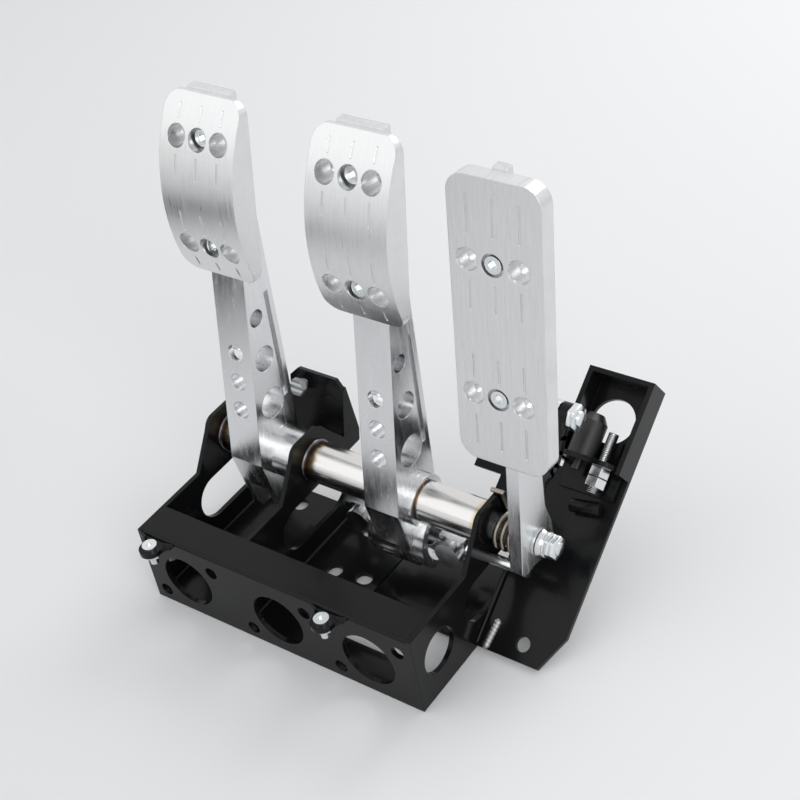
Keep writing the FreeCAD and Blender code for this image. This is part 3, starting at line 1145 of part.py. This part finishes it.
for thing in doc.Objects:
    if "Invalid" in thing.State or "Error" in thing.State:
        raise RuntimeError("failed: " + thing.Name)
os.makedirs("parts", exist_ok=True)
for thing in SUB_PARTS:
    shape = thing.Shape
    if shape.isNull() or not shape.isValid():
        raise RuntimeError("bad shape: " + thing.Label)
    shape.exportStep("parts/%s.step" % thing.Label)
    print(thing.Label, len(shape.Solids), round(shape.Volume, 1), shape.BoundBox)
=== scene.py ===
import json
import math

import bpy
from mathutils import Euler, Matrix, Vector

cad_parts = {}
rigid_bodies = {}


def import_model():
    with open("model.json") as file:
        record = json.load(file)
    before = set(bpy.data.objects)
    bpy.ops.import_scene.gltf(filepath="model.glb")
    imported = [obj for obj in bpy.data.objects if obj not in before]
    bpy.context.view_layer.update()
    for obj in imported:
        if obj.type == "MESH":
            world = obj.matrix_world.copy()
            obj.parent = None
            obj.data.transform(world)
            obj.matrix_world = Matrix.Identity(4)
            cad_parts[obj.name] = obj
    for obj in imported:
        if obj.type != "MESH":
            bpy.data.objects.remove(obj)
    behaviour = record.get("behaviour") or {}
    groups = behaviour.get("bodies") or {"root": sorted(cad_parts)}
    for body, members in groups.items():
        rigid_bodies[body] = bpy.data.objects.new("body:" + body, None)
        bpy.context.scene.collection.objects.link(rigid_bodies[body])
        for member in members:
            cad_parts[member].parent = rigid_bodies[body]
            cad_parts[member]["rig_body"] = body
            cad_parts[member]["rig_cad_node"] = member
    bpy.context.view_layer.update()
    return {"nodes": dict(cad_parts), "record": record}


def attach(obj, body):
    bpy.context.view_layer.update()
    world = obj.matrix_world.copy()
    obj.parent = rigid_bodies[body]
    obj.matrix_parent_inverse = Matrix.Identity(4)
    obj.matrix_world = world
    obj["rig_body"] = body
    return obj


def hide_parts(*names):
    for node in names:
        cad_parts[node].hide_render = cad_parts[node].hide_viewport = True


# Three-pedal box on a pale studio floor. Metres; X to the driver's right, Y to the front of the car, Z up.

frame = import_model()
nodes = frame["nodes"]

# Sizes that the added pieces share with the solids.
wall = 0.003
half_width = 0.1
inner_side = half_width - wall
centre_plate_left = -0.034
centre_plate_right = -0.031
tube_radius = 0.0127
slope = math.radians(34.5)
slope_start = 0.053
pivot_y = 0.0905
pivot_z = 0.064
clutch_x = -0.068
brake_x = 0.034
throttle_x = 0.125

# Corner radius of a hexagon for half its width over the flats.
hexagon = 2 / math.sqrt(3)
quarter_turn = math.radians(90)


def new_material(name, base, metallic, roughness):
    """A principled material and its node tree, with the plain values on the shader's own sockets."""
    material = bpy.data.materials.new(name)
    material.use_nodes = True
    tree = material.node_tree
    shader = tree.nodes["Principled BSDF"]
    shader.inputs["Base Color"].default_value = (*base, 1)
    shader.inputs["Metallic"].default_value = metallic
    shader.inputs["Roughness"].default_value = roughness
    return material, tree, shader


def object_place(tree, stretch=(1, 1, 1)):
    """Object coordinates through a mapping that stretches a pattern along one direction."""
    coordinates = tree.nodes.new("ShaderNodeTexCoord")
    mapping = tree.nodes.new("ShaderNodeMapping")
    mapping.inputs["Scale"].default_value = stretch
    tree.links.new(coordinates.outputs["Object"], mapping.inputs["Vector"])
    return mapping.outputs["Vector"]


def noise(tree, vector, scale, detail, rough=0.5):
    texture = tree.nodes.new("ShaderNodeTexNoise")
    texture.inputs["Scale"].default_value = scale
    texture.inputs["Detail"].default_value = detail
    texture.inputs["Roughness"].default_value = rough
    tree.links.new(vector, texture.inputs["Vector"])
    return texture.outputs["Fac"]


def ramp(tree, value, stops, target):
    """Colour ramp from a value to a socket; each stop is its place and a grey or a colour."""
    node = tree.nodes.new("ShaderNodeValToRGB")
    elements = node.color_ramp.elements
    while len(elements) < len(stops):
        elements.new(0.5)
    for element, (place, colour) in zip(elements, stops):
        element.position = place
        if isinstance(colour, (int, float)):
            colour = (colour, colour, colour)
        element.color = (*colour, 1)
    tree.links.new(value, node.inputs["Fac"])
    tree.links.new(node.outputs["Color"], target)


def bump(tree, shader, height, distance, strength):
    node = tree.nodes.new("ShaderNodeBump")
    node.inputs["Distance"].default_value = distance
    node.inputs["Strength"].default_value = strength
    tree.links.new(height, node.inputs["Height"])
    tree.links.new(node.outputs["Normal"], shader.inputs["Normal"])


def soft_edges(tree, shader, radius):
    """Rounds the look of sharp edges a little, under any bump, as deburred metal has them."""
    node = tree.nodes.new("ShaderNodeBevel")
    node.samples = 4
    node.inputs["Radius"].default_value = radius
    target = shader.inputs["Normal"]
    if target.links:
        target = target.links[0].from_node.inputs["Normal"]
    tree.links.new(node.outputs["Normal"], target)


def calculate(tree, operation, *values):
    """Math node over one to three values, each a number or the output of a node."""
    node = tree.nodes.new("ShaderNodeMath")
    node.operation = operation
    for socket, value in zip(node.inputs, values):
        if isinstance(value, (int, float)):
            socket.default_value = value
        else:
            tree.links.new(value, socket)
    return node.outputs["Value"]


def axis_value(tree, direction, offset=0.0):
    """Distance of a point along a direction through the object's own space, in metres."""
    coordinates = tree.nodes.new("ShaderNodeTexCoord")
    dot = tree.nodes.new("ShaderNodeVectorMath")
    dot.operation = "DOT_PRODUCT"
    dot.inputs[1].default_value = direction
    tree.links.new(coordinates.outputs["Object"], dot.inputs[0])
    return calculate(tree, "ADD", dot.outputs["Value"], offset)


def powder_coat(name, base):
    """Gloss black coat with a faint orange peel and patches of duller sheen."""
    material, tree, shader = new_material(name, base, metallic=0.0, roughness=0.24)
    shader.inputs["Specular IOR Level"].default_value = 0.14
    shader.inputs["Coat Weight"].default_value = 0.1
    shader.inputs["Coat Roughness"].default_value = 0.08
    place = object_place(tree)
    patches = noise(tree, place, scale=28.0, detail=4.0)
    ramp(tree, patches, [(0.3, 0.14), (0.7, 0.3)], shader.inputs["Roughness"])
    peel = noise(tree, place, scale=700.0, detail=1.0)
    bump(tree, shader, peel, distance=0.00006, strength=0.35)
    soft_edges(tree, shader, radius=0.0007)
    return material


def threaded(name, base, direction, pitch):
    """Zinc-plated thread: fine grooves across the bolt's direction, with painted shade in their roots."""
    material, tree, shader = new_material(name, base, metallic=1.0, roughness=0.24)
    turns = calculate(tree, "MULTIPLY", axis_value(tree, direction), 2 * math.pi / pitch)
    grooves = calculate(tree, "SINE", turns)
    bump(tree, shader, grooves, distance=0.0003, strength=1.0)
    # Painted shade: the base colour is darkened towards the bottom of each groove.
    height = calculate(tree, "MULTIPLY_ADD", grooves, 0.5, 0.5)
    dark = tuple(0.45 * channel for channel in base)
    ramp(tree, height, [(0.15, dark), (0.6, base)], shader.inputs["Base Color"])
    return material


def welded_tube(name, base, ends):
    """Drawn steel tube with grey, brown and straw heat tint where it is welded to the plates."""
    material, tree, shader = new_material(name, base, metallic=1.0, roughness=0.2)
    drawn_lines = noise(tree, object_place(tree, (0.08, 1.0, 1.0)), scale=500.0, detail=4.0)
    ramp(tree, drawn_lines, [(0.3, 0.14), (0.7, 0.26)], shader.inputs["Roughness"])
    distances = [calculate(tree, "ABSOLUTE", axis_value(tree, (1, 0, 0), -end)) for end in ends]
    nearest = distances[0]
    for distance in distances[1:]:
        nearest = calculate(tree, "MINIMUM", nearest, distance)
    ragged = noise(tree, object_place(tree), scale=90.0, detail=2.0)
    raggedness = 0.004
    centred = calculate(tree, "SUBTRACT", nearest, raggedness / 2)
    wave = calculate(tree, "MULTIPLY_ADD", ragged, raggedness, centred)
    tint_per_metre = 70.0
    reach = calculate(tree, "MULTIPLY", wave, tint_per_metre)
    scale_black = (0.12, 0.11, 0.1)
    grey = (0.2, 0.2, 0.22)
    brown = (0.3, 0.17, 0.1)
    straw = (0.62, 0.46, 0.27)
    tint = [(0.0, scale_black), (0.1, grey), (0.2, brown), (0.38, straw), (0.65, base)]
    ramp(tree, reach, tint, shader.inputs["Base Color"])
    soft_edges(tree, shader, radius=0.0004)
    return material


def brushed_aluminium(name, base, stretch, scale, low, high, depth):
    """Brushed or milled aluminium: fine lines along one direction, between two roughnesses."""
    material, tree, shader = new_material(name, base, metallic=1.0, roughness=0.3)
    lines = noise(tree, object_place(tree, stretch), scale, detail=5.0, rough=0.65)
    ramp(tree, lines, [(0.3, low), (0.7, high)], shader.inputs["Roughness"])
    dark = tuple(0.9 * channel for channel in base)
    ramp(tree, lines, [(0.3, dark), (0.65, base)], shader.inputs["Base Color"])
    bump(tree, shader, lines, depth, strength=0.5)
    soft_edges(tree, shader, radius=0.0006)
    return material


def plated(name, base, roughness):
    """Zinc plate or turned steel with a faint cloudy finish."""
    material, tree, shader = new_material(name, base, metallic=1.0, roughness=roughness)
    clouds = noise(tree, object_place(tree), scale=180.0, detail=3.0)
    ramp(tree, clouds, [(0.3, 0.8 * roughness), (0.7, 1.3 * roughness)], shader.inputs["Roughness"])
    soft_edges(tree, shader, radius=0.0003)
    return material


zinc_colour = (0.74, 0.77, 0.78)
finishes = {
    "frame_coat": powder_coat("gloss black frame", (0.006, 0.0062, 0.0068)),
    "lever_coat": powder_coat("gloss black lever", (0.006, 0.0062, 0.007)),
    "pad_aluminium": brushed_aluminium(
        "brushed pads", (0.78, 0.785, 0.79), stretch=(1.0, 0.05, 0.05), scale=900.0,
        low=0.24, high=0.4, depth=0.00005,
    ),
    "arm_aluminium": brushed_aluminium(
        "machined arms", (0.77, 0.78, 0.79), stretch=(1.0, 1.0, 0.12), scale=300.0,
        low=0.16, high=0.3, depth=0.00003,
    ),
    "tube_steel": welded_tube(
        "drawn tube", (0.72, 0.71, 0.7), ends=(-inner_side, centre_plate_right, inner_side),
    ),
    "turned_steel": plated("turned steel", (0.66, 0.67, 0.68), 0.2),
    "zinc": plated("bright zinc", zinc_colour, 0.18),
    "spring_steel": plated("tempered spring wire", (0.34, 0.3, 0.26), 0.25),
    "bronze": plated("bronze bush", (0.6, 0.4, 0.2), 0.3),
    "buffer_rubber": new_material(
        "black buffer rubber", (0.012, 0.012, 0.013), metallic=0.0, roughness=0.38,
    )[0],
}

up_slope = (0, math.cos(slope), math.sin(slope))
thread_finishes = {
    "throttle_stop_stud": threaded("stud thread", zinc_colour, up_slope, pitch=0.001),
    "clutch_stop_bolt": threaded("stop bolt thread", zinc_colour, (0, 1, 0), pitch=0.001),
    "balance_bar": threaded("balance bar thread", (0.5, 0.51, 0.52), (1, 0, 0), pitch=0.00125),
}

slots = {entry["node"]: entry["material_slot"] for entry in frame["record"]["subparts"]}
for name, node in nodes.items():
    for index in range(len(node.data.materials)):
        node.data.materials[index] = thread_finishes.get(name, finishes[slots[name]])


def activate(piece):
    bpy.ops.object.select_all(action="DESELECT")
    piece.select_set(True)
    bpy.context.view_layer.objects.active = piece


def empty_mesh(name):
    """A mesh object at the origin with nothing in it, left in edit mode for its first piece."""
    bpy.ops.object.select_all(action="DESELECT")
    bpy.ops.mesh.primitive_cube_add(size=0.001)
    piece = bpy.context.object
    piece.name = name
    bpy.ops.object.mode_set(mode="EDIT")
    bpy.ops.mesh.select_all(action="SELECT")
    bpy.ops.mesh.delete(type="VERT")
    return piece


def bars(name, rows):
    """One mesh of straight bars; each row is the middle, the three sizes and the turn about X."""
    piece = empty_mesh(name)
    for middle, sizes, turn in rows:
        bpy.ops.mesh.primitive_cube_add(size=1, location=middle, rotation=(turn, 0, 0), scale=sizes)
    bpy.ops.mesh.select_all(action="SELECT")
    bpy.ops.mesh.normals_make_consistent(inside=False)
    bpy.ops.object.mode_set(mode="OBJECT")
    return piece


def turned(name, y, z, rows):
    """One mesh of round or flat-sided steps along X; each row is start, end, two radii and sides."""
    piece = empty_mesh(name)
    for start, end, first, last, sides in rows:
        bpy.ops.mesh.primitive_cone_add(
            vertices=sides, radius1=first, radius2=last, depth=end - start,
            location=((start + end) / 2, y, z), rotation=(0, quarter_turn, 0),
        )
    bpy.ops.object.mode_set(mode="OBJECT")
    return piece


def soften(piece, width):
    """Small rounds on a piece's edges."""
    edges = piece.modifiers.new("edges", "BEVEL")
    edges.width = width
    edges.segments = 2
    edges.limit_method = "ANGLE"
    activate(piece)
    bpy.ops.object.modifier_apply(modifier=edges.name)
    bpy.ops.object.shade_smooth_by_angle(angle=math.radians(35))


def dress(piece, finish, body):
    piece.data.materials.clear()
    piece.data.materials.append(finish)
    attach(piece, body)


def on_plate(x, along, above):
    """Point on the sloping throttle plate: across, along the slope from its front edge, above its top."""
    height = above + wall
    return (
        x,
        slope_start + along * math.cos(slope) - height * math.sin(slope),
        along * math.sin(slope) + height * math.cos(slope),
    )


def along_arm(lean, front, up, out):
    """Point on a pedal: up its front face from the axis level, out towards the driver."""
    return (
        pivot_y - front + up * math.cos(lean) - out * math.sin(lean),
        pivot_z + up * math.sin(lean) + out * math.cos(lean),
    )


def merge_points(piece):
    activate(piece)
    bpy.ops.object.mode_set(mode="EDIT")
    bpy.ops.mesh.select_all(action="SELECT")
    bpy.ops.mesh.remove_doubles(threshold=0.000001)
    bpy.ops.object.mode_set(mode="OBJECT")


def groove_bars(name, middle, lean, front, start, bands, surface):
    """Bars that cut three columns of grooves in the bands of a pad; each follows the face's tilt."""
    column_pitch = 0.015
    width = 0.0012
    height = 0.002
    lift = 0.0004
    rows = []
    for low, high in bands:
        out, tilt = surface((low + high) / 2)
        y, z = along_arm(lean, front, start + (low + high) / 2, out)
        outward = lean + tilt
        y -= lift * math.sin(outward)
        z += lift * math.cos(outward)
        for column in (-column_pitch, 0, column_pitch):
            rows.append(((middle + column, y, z), (width, high - low, height), outward))
    return bars(name, rows)


def grooved_pad(node, body, middle, lean, front, start, bands, surface):
    """Copy of a pad's solid with fine grooves cut in it; the middle stays bare."""
    source = nodes[node]
    pad = source.copy()
    pad.data = source.data.copy()
    bpy.context.collection.objects.link(pad)
    pad.parent = None
    pad.name = node + "_grooved"
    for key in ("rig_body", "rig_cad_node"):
        if key in pad:
            del pad[key]
    merge_points(pad)
    bpy.ops.mesh.customdata_custom_splitnormals_clear()
    bpy.ops.object.shade_flat()
    cutter = groove_bars(node + "_cutter", middle, lean, front, start, bands, surface)
    grooves = pad.modifiers.new("grooves", "BOOLEAN")
    grooves.operation = "DIFFERENCE"
    grooves.solver = "EXACT"
    grooves.object = cutter
    activate(pad)
    bpy.ops.object.modifier_apply(modifier=grooves.name)
    bpy.data.objects.remove(cutter)
    merge_points(pad)
    bpy.ops.object.shade_smooth_by_angle(angle=math.radians(25))
    dress(pad, finishes["pad_aluminium"], body)
    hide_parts(node)


def curved_surface(up):
    """Height of a curved pad's face over the arm, and its tilt, at a distance up from its lower end."""
    half_length = 0.1075 / 2
    middle_thickness = 0.0175
    end_thickness = 0.003
    rise = middle_thickness - end_thickness
    radius = (half_length ** 2 + rise ** 2) / (2 * rise)
    off = up - half_length
    return middle_thickness - radius + math.sqrt(radius ** 2 - off ** 2), -math.asin(off / radius)


def flat_surface(up):
    """The same for the throttle pad, whose face is flat, so the distance up changes nothing."""
    thickness = 0.01
    return thickness, 0.0


def pads():
    """The three pads; bands of grooves are distances up from a pad's lower end."""
    curved_bands = ((0.0032, 0.0102), (0.0287, 0.0416), (0.0619, 0.0747), (0.0935, 0.1021))
    arm_lean = math.radians(79)
    arm_front = 0.0215
    pad_start = 0.129
    for body, x in (("clutch", clutch_x), ("brake", brake_x)):
        grooved_pad(body + "_pad", body, x, arm_lean, arm_front, pad_start, curved_bands, curved_surface)
    flat_bands = ((0.0089, 0.0272), (0.0495, 0.0639), (0.0897, 0.106), (0.132, 0.153))
    throttle_lean = math.radians(82)
    throttle_front = 0.0209
    throttle_start = 0.0725
    pad_x = throttle_x + 0.001
    grooved_pad("throttle_pad", "throttle", pad_x, throttle_lean, throttle_front, throttle_start,
                flat_bands, flat_surface)


def bay_sheet(name, front, back):
    """Flat sheet on the floor of the right bay, beside the centre floor plate."""
    left = 0.0227
    right = inner_side - 0.0001
    middle = ((left + right) / 2, (front + back) / 2, wall / 2)
    sheet = bars(name, [(middle, (right - left, back - front, wall), 0)])
    soften(sheet, 0.0004)
    dress(sheet, finishes["frame_coat"], "frame")


def frame_sheets():
    """Lower flange of the nose channel and the floor plate, both in the right bay."""
    bay_sheet("nose_lower_flange", front=0.0033, back=0.023)
    bay_sheet("floor_plate_right", front=slope_start, back=0.115)


def plate_peg():
    """Short bar welded across the throttle plate in front of the stop bracket."""
    radius = 0.004
    length = 0.018
    skew = math.radians(9)
    turn = Euler((slope, 0, 0)).to_matrix() @ Euler((0, 0, skew)).to_matrix()
    turn = turn @ Euler((0, quarter_turn, 0)).to_matrix()
    peg = empty_mesh("throttle_plate_peg")
    bpy.ops.mesh.primitive_cylinder_add(
        vertices=40, radius=radius, depth=length,
        location=on_plate(0.1344, 0.0967, radius), rotation=turn.to_euler(),
    )
    bpy.ops.object.mode_set(mode="OBJECT")
    soften(peg, 0.0004)
    dress(peg, finishes["frame_coat"], "frame")


def pivot_end():
    """Shoulder bolt with a turned cone, a washer and two thin nuts outside the throttle arm."""
    zinc = finishes["zinc"]
    round_sides = 64
    head_corner = 0.009 * hexagon
    shoulder_radius = 0.006
    thread_radius = 0.004
    shoulder_end = 0.1293
    cone_end = 0.1325
    washer_end = 0.1337
    thread_end = 0.1406
    bolt = turned("pivot_shoulder_bolt", pivot_y, pivot_z, [
        (-half_width - 0.0075, -half_width, head_corner, head_corner, 6),
        (-half_width, shoulder_end, shoulder_radius, shoulder_radius, round_sides),
        (0.128, thread_end, thread_radius, thread_radius, round_sides),
    ])
    soften(bolt, 0.0004)
    dress(bolt, zinc, "frame")
    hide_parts("pivot_bolt")
    cone = turned("throttle_cone", pivot_y, pivot_z, [(shoulder_end, cone_end, 0.009, 0.0074, round_sides)])
    soften(cone, 0.0003)
    dress(cone, finishes["turned_steel"], "frame")
    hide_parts("throttle_spacer")
    washer_radius = 0.0078
    washer = turned("pivot_thin_washer", pivot_y, pivot_z, [
        (cone_end, washer_end, washer_radius, washer_radius, round_sides),
    ])
    soften(washer, 0.0003)
    dress(washer, zinc, "frame")
    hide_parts("pivot_washer")
    nut_height = 0.003
    nut_corner = 0.0065 * hexagon
    nut_starts = (washer_end, washer_end + nut_height + 0.0001)
    nuts = turned("pivot_thin_nuts", pivot_y, pivot_z, [
        (start, start + nut_height, nut_corner, nut_corner, 6) for start in nut_starts
    ])
    soften(nuts, 0.0005)
    dress(nuts, zinc, "frame")
    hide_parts("pivot_nut")


def hooked_lever(eye_y, eye_z):
    """Bent strip from a foot on the throttle arm's rear to a round eye."""
    strip_thick = 0.0078
    strip_wide = 0.005
    overlap = 0.004
    path = (
        (-0.0375, -0.0215), (-0.0245, -0.0222), (-0.0195, -0.0205), (-0.0145, -0.0155),
        (-0.0095, -0.0085), (-0.0045, -0.0015), (0, 0),
    )
    rows = []
    for (y0, z0), (y1, z1) in zip(path, path[1:]):
        length = math.hypot(y1 - y0, z1 - z0)
        middle = (throttle_x, eye_y + (y0 + y1) / 2, eye_z + (z0 + z1) / 2)
        rows.append((middle, (strip_wide, length + overlap, strip_thick), math.atan2(z1 - z0, y1 - y0)))
    foot_middle = (throttle_x, 0.1001, 0.1035)
    foot_sizes = (0.008, 0.003, 0.017)
    rows.append((foot_middle, foot_sizes, 0))
    lever = bars("hooked_lever", rows)
    soften(lever, 0.0007)
    bpy.ops.object.mode_set(mode="EDIT")
    bpy.ops.mesh.select_all(action="DESELECT")
    bpy.ops.mesh.primitive_cylinder_add(
        vertices=48, radius=0.0072, depth=strip_wide,
        location=(throttle_x, eye_y, eye_z), rotation=(0, quarter_turn, 0),
    )
    bpy.ops.object.mode_set(mode="OBJECT")
    bpy.ops.object.shade_smooth_by_angle(angle=math.radians(35))
    dress(lever, finishes["lever_coat"], "throttle")
    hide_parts("cable_lever")


def wire_block(eye_y, eye_z):
    """Eight-sided block, its pin through the lever's eye, a nut and the pin's end."""
    block_end = 0.1215
    nut_start = 0.128
    nut_end = 0.1325
    nut_corner = 0.0072 * hexagon
    block = turned("wire_block", eye_y, eye_z, [
        (0.112, block_end, 0.0075, 0.0075, 8),
        (block_end, 0.129, 0.004, 0.004, 48),
        (nut_start, nut_end, nut_corner, nut_corner, 6),
        (nut_end, 0.1345, 0.005, 0.004, 32),
    ])
    soften(block, 0.0006)
    dress(block, finishes["zinc"], "cable_clamp")
    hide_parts("cable_clamp")


def cable_linkage():
    """Hooked lever on the rear of the throttle arm, with the block that grips the throttle wire."""
    eye_y = 0.135
    eye_z = 0.121
    hooked_lever(eye_y, eye_z)
    wire_block(eye_y, eye_z)


def weld_bead(name, start, end, radius, finish):
    """Row of overlapping ripples from one point to another, sunk into the corner it fills."""
    start = Vector(start)
    run = Vector(end) - start
    count = max(3, round(run.length / (0.75 * radius)))
    bpy.ops.object.select_all(action="DESELECT")
    bpy.ops.mesh.primitive_uv_sphere_add(segments=12, ring_count=7, radius=radius)
    piece = bpy.context.object
    piece.name = name
    bpy.ops.object.mode_set(mode="EDIT")
    bpy.ops.mesh.select_all(action="SELECT")
    bpy.ops.transform.translate(value=start)
    bpy.ops.object.mode_set(mode="OBJECT")
    ripples = piece.modifiers.new("ripples", "ARRAY")
    ripples.use_relative_offset = False
    ripples.use_constant_offset = True
    ripples.constant_offset_displace = run / (count - 1)
    ripples.count = count
    bpy.ops.object.modifier_apply(modifier=ripples.name)
    bpy.ops.object.shade_smooth()
    dress(piece, finish, "frame")


def ring_weld(name, x):
    """Weld round a cross tube where it meets a plate."""
    bpy.ops.object.select_all(action="DESELECT")
    bpy.ops.mesh.primitive_torus_add(
        major_radius=tube_radius + 0.0001, minor_radius=0.0013, major_segments=72, minor_segments=8,
    )
    piece = bpy.context.object
    piece.name = name
    bpy.ops.object.mode_set(mode="EDIT")
    bpy.ops.mesh.select_all(action="SELECT")
    bpy.ops.transform.rotate(value=quarter_turn, orient_axis="Y", center_override=(0, 0, 0))
    bpy.ops.transform.translate(value=(x, pivot_y, pivot_z))
    bpy.ops.object.mode_set(mode="OBJECT")
    bpy.ops.object.shade_smooth()
    dress(piece, finishes["tube_steel"], "frame")


def throttle_plate_welds():
    """Bare bead on the plate's foot, and a coated one along the right side plate."""
    bare = plated("bare weld", (0.4, 0.4, 0.39), 0.42)
    depth = -0.0014
    foot_start = on_plate(0.1062, 0.004, depth)
    foot_end = on_plate(0.1076, 0.018, depth)
    weld_bead("weld_throttle_plate", foot_start, foot_end, 0.0027, bare)
    seam_x = half_width + 0.0006
    seam_above = 0.0002
    seam_start = on_plate(seam_x, 0.004, seam_above)
    seam_end = on_plate(seam_x, 0.06, seam_above)
    weld_bead("weld_throttle_plate_side", seam_start, seam_end, 0.0015, finishes["frame_coat"])


def lug_welds(black):
    """Short bead on each side of the two heel lugs."""
    half_lug = 0.0118
    inward = 0.004
    for name, x in (("left", -0.084), ("right", 0.045)):
        for side in (-1, 1):
            spot = x + side * half_lug
            start = (spot, -0.0006, 0.0545)
            end = (spot - side * inward, -0.0024, 0.0552)
            weld_bead("weld_lug_%s_%d" % (name, side + 2), start, end, 0.0012, black)


def welds():
    """Beads that join the plates, lugs, tubes and brackets of the frame."""
    black = finishes["frame_coat"]
    bead = 0.0014
    beside = 0.0004
    throttle_plate_welds()
    floor = wall + 0.0002
    floor_seams = (
        ("left", -inner_side + beside),
        ("centre_left", centre_plate_left - beside),
        ("centre_right", centre_plate_right + beside),
    )
    for name, x in floor_seams:
        weld_bead("weld_floor_" + name, (x, 0.012, floor), (x, 0.112, floor), bead, black)
    corner = inner_side - 0.0002
    behind = wall + 0.0002
    for name, x in (("left", -corner), ("right", corner)):
        weld_bead("weld_nose_" + name, (x, behind, 0.004), (x, behind, 0.052), bead, black)
    lug_welds(black)
    off_plate = 0.0003
    ring_weld("weld_tube_left", -inner_side + off_plate)
    ring_weld("weld_tube_centre", centre_plate_right + off_plate)
    ring_weld("weld_tube_right", inner_side - off_plate)


def stage_piece(name, colour):
    """Names the new primitive, paints it matt and keeps it out of the object."""
    piece = bpy.context.object
    piece.name = name
    material = new_material(name + " paint", colour, metallic=0.0, roughness=0.9)[0]
    piece.data.materials.append(material)


def surroundings():
    """White for the camera and for reflections, a softer grey for the light on the object."""
    world = bpy.data.worlds.new("white studio")
    bpy.context.scene.world = world
    world.use_nodes = True
    tree = world.node_tree
    background = tree.nodes["Background"]
    background.inputs["Color"].default_value = (0.75, 0.76, 0.78, 1)
    background.inputs["Strength"].default_value = 0.82
    white = tree.nodes.new("ShaderNodeBackground")
    white.inputs["Color"].default_value = (1, 1, 1, 1)
    white.inputs["Strength"].default_value = 0.93
    paths = tree.nodes.new("ShaderNodeLightPath")
    seen = paths.outputs["Is Camera Ray"]
    for kind in ("Is Glossy Ray", "Is Transmission Ray"):
        seen = calculate(tree, "MAXIMUM", seen, paths.outputs[kind])
    mix = tree.nodes.new("ShaderNodeMixShader")
    tree.links.new(seen, mix.inputs["Fac"])
    tree.links.new(background.outputs[0], mix.inputs[1])
    tree.links.new(white.outputs[0], mix.inputs[2])
    tree.links.new(mix.outputs[0], tree.nodes["World Output"].inputs["Surface"])


def lamps():
    """Three round soft lamps that point at the middle of the object."""
    middle = Vector((0.03, 0.08, 0.12))
    rows = (
        ("key", (-0.9, -0.9, 1.3), 1.7, 2.5),
        ("fill", (1.2, -0.6, 0.9), 0.9, 5.0),
        ("rim", (0.2, 1.4, 1.0), 0.8, 6.0),
    )
    for name, place, size, watts in rows:
        bpy.ops.object.light_add(type="AREA", location=place)
        lamp = bpy.context.object
        lamp.name = name
        lamp.data.shape = "DISK"
        lamp.data.size = size
        lamp.data.energy = watts
        aim = middle - Vector(place)
        lamp.rotation_euler = aim.to_track_quat("-Z", "Y").to_euler()


def studio():
    """Pale floor, a dark card that the pads reflect, white surroundings and soft lamps."""
    bpy.ops.mesh.primitive_plane_add(size=6, location=(0, 0, -0.0005))
    stage_piece("studio_floor", (0.93, 0.93, 0.93))
    bpy.ops.mesh.primitive_cube_add(size=1, location=(-0.42, -0.28, 0.05), scale=(0.01, 0.5, 0.1))
    stage_piece("dark_card", (0.03, 0.03, 0.03))
    surroundings()
    lamps()


def camera():
    """The photograph's viewpoint."""
    bpy.ops.object.camera_add(location=(0.517897, -0.434732, 0.704991))
    view = bpy.context.object
    view.rotation_euler = Euler((0.885249, 0.151738, 0.609164), "XYZ")
    view.data.sensor_width = 36.0
    view.data.lens = 73.8186
    view.data.clip_start = 0.01
    bpy.context.scene.camera = view


pads()
frame_sheets()
plate_peg()
pivot_end()
cable_linkage()
welds()
studio()
camera()
bpy.context.scene.view_settings.view_transform = "Standard"
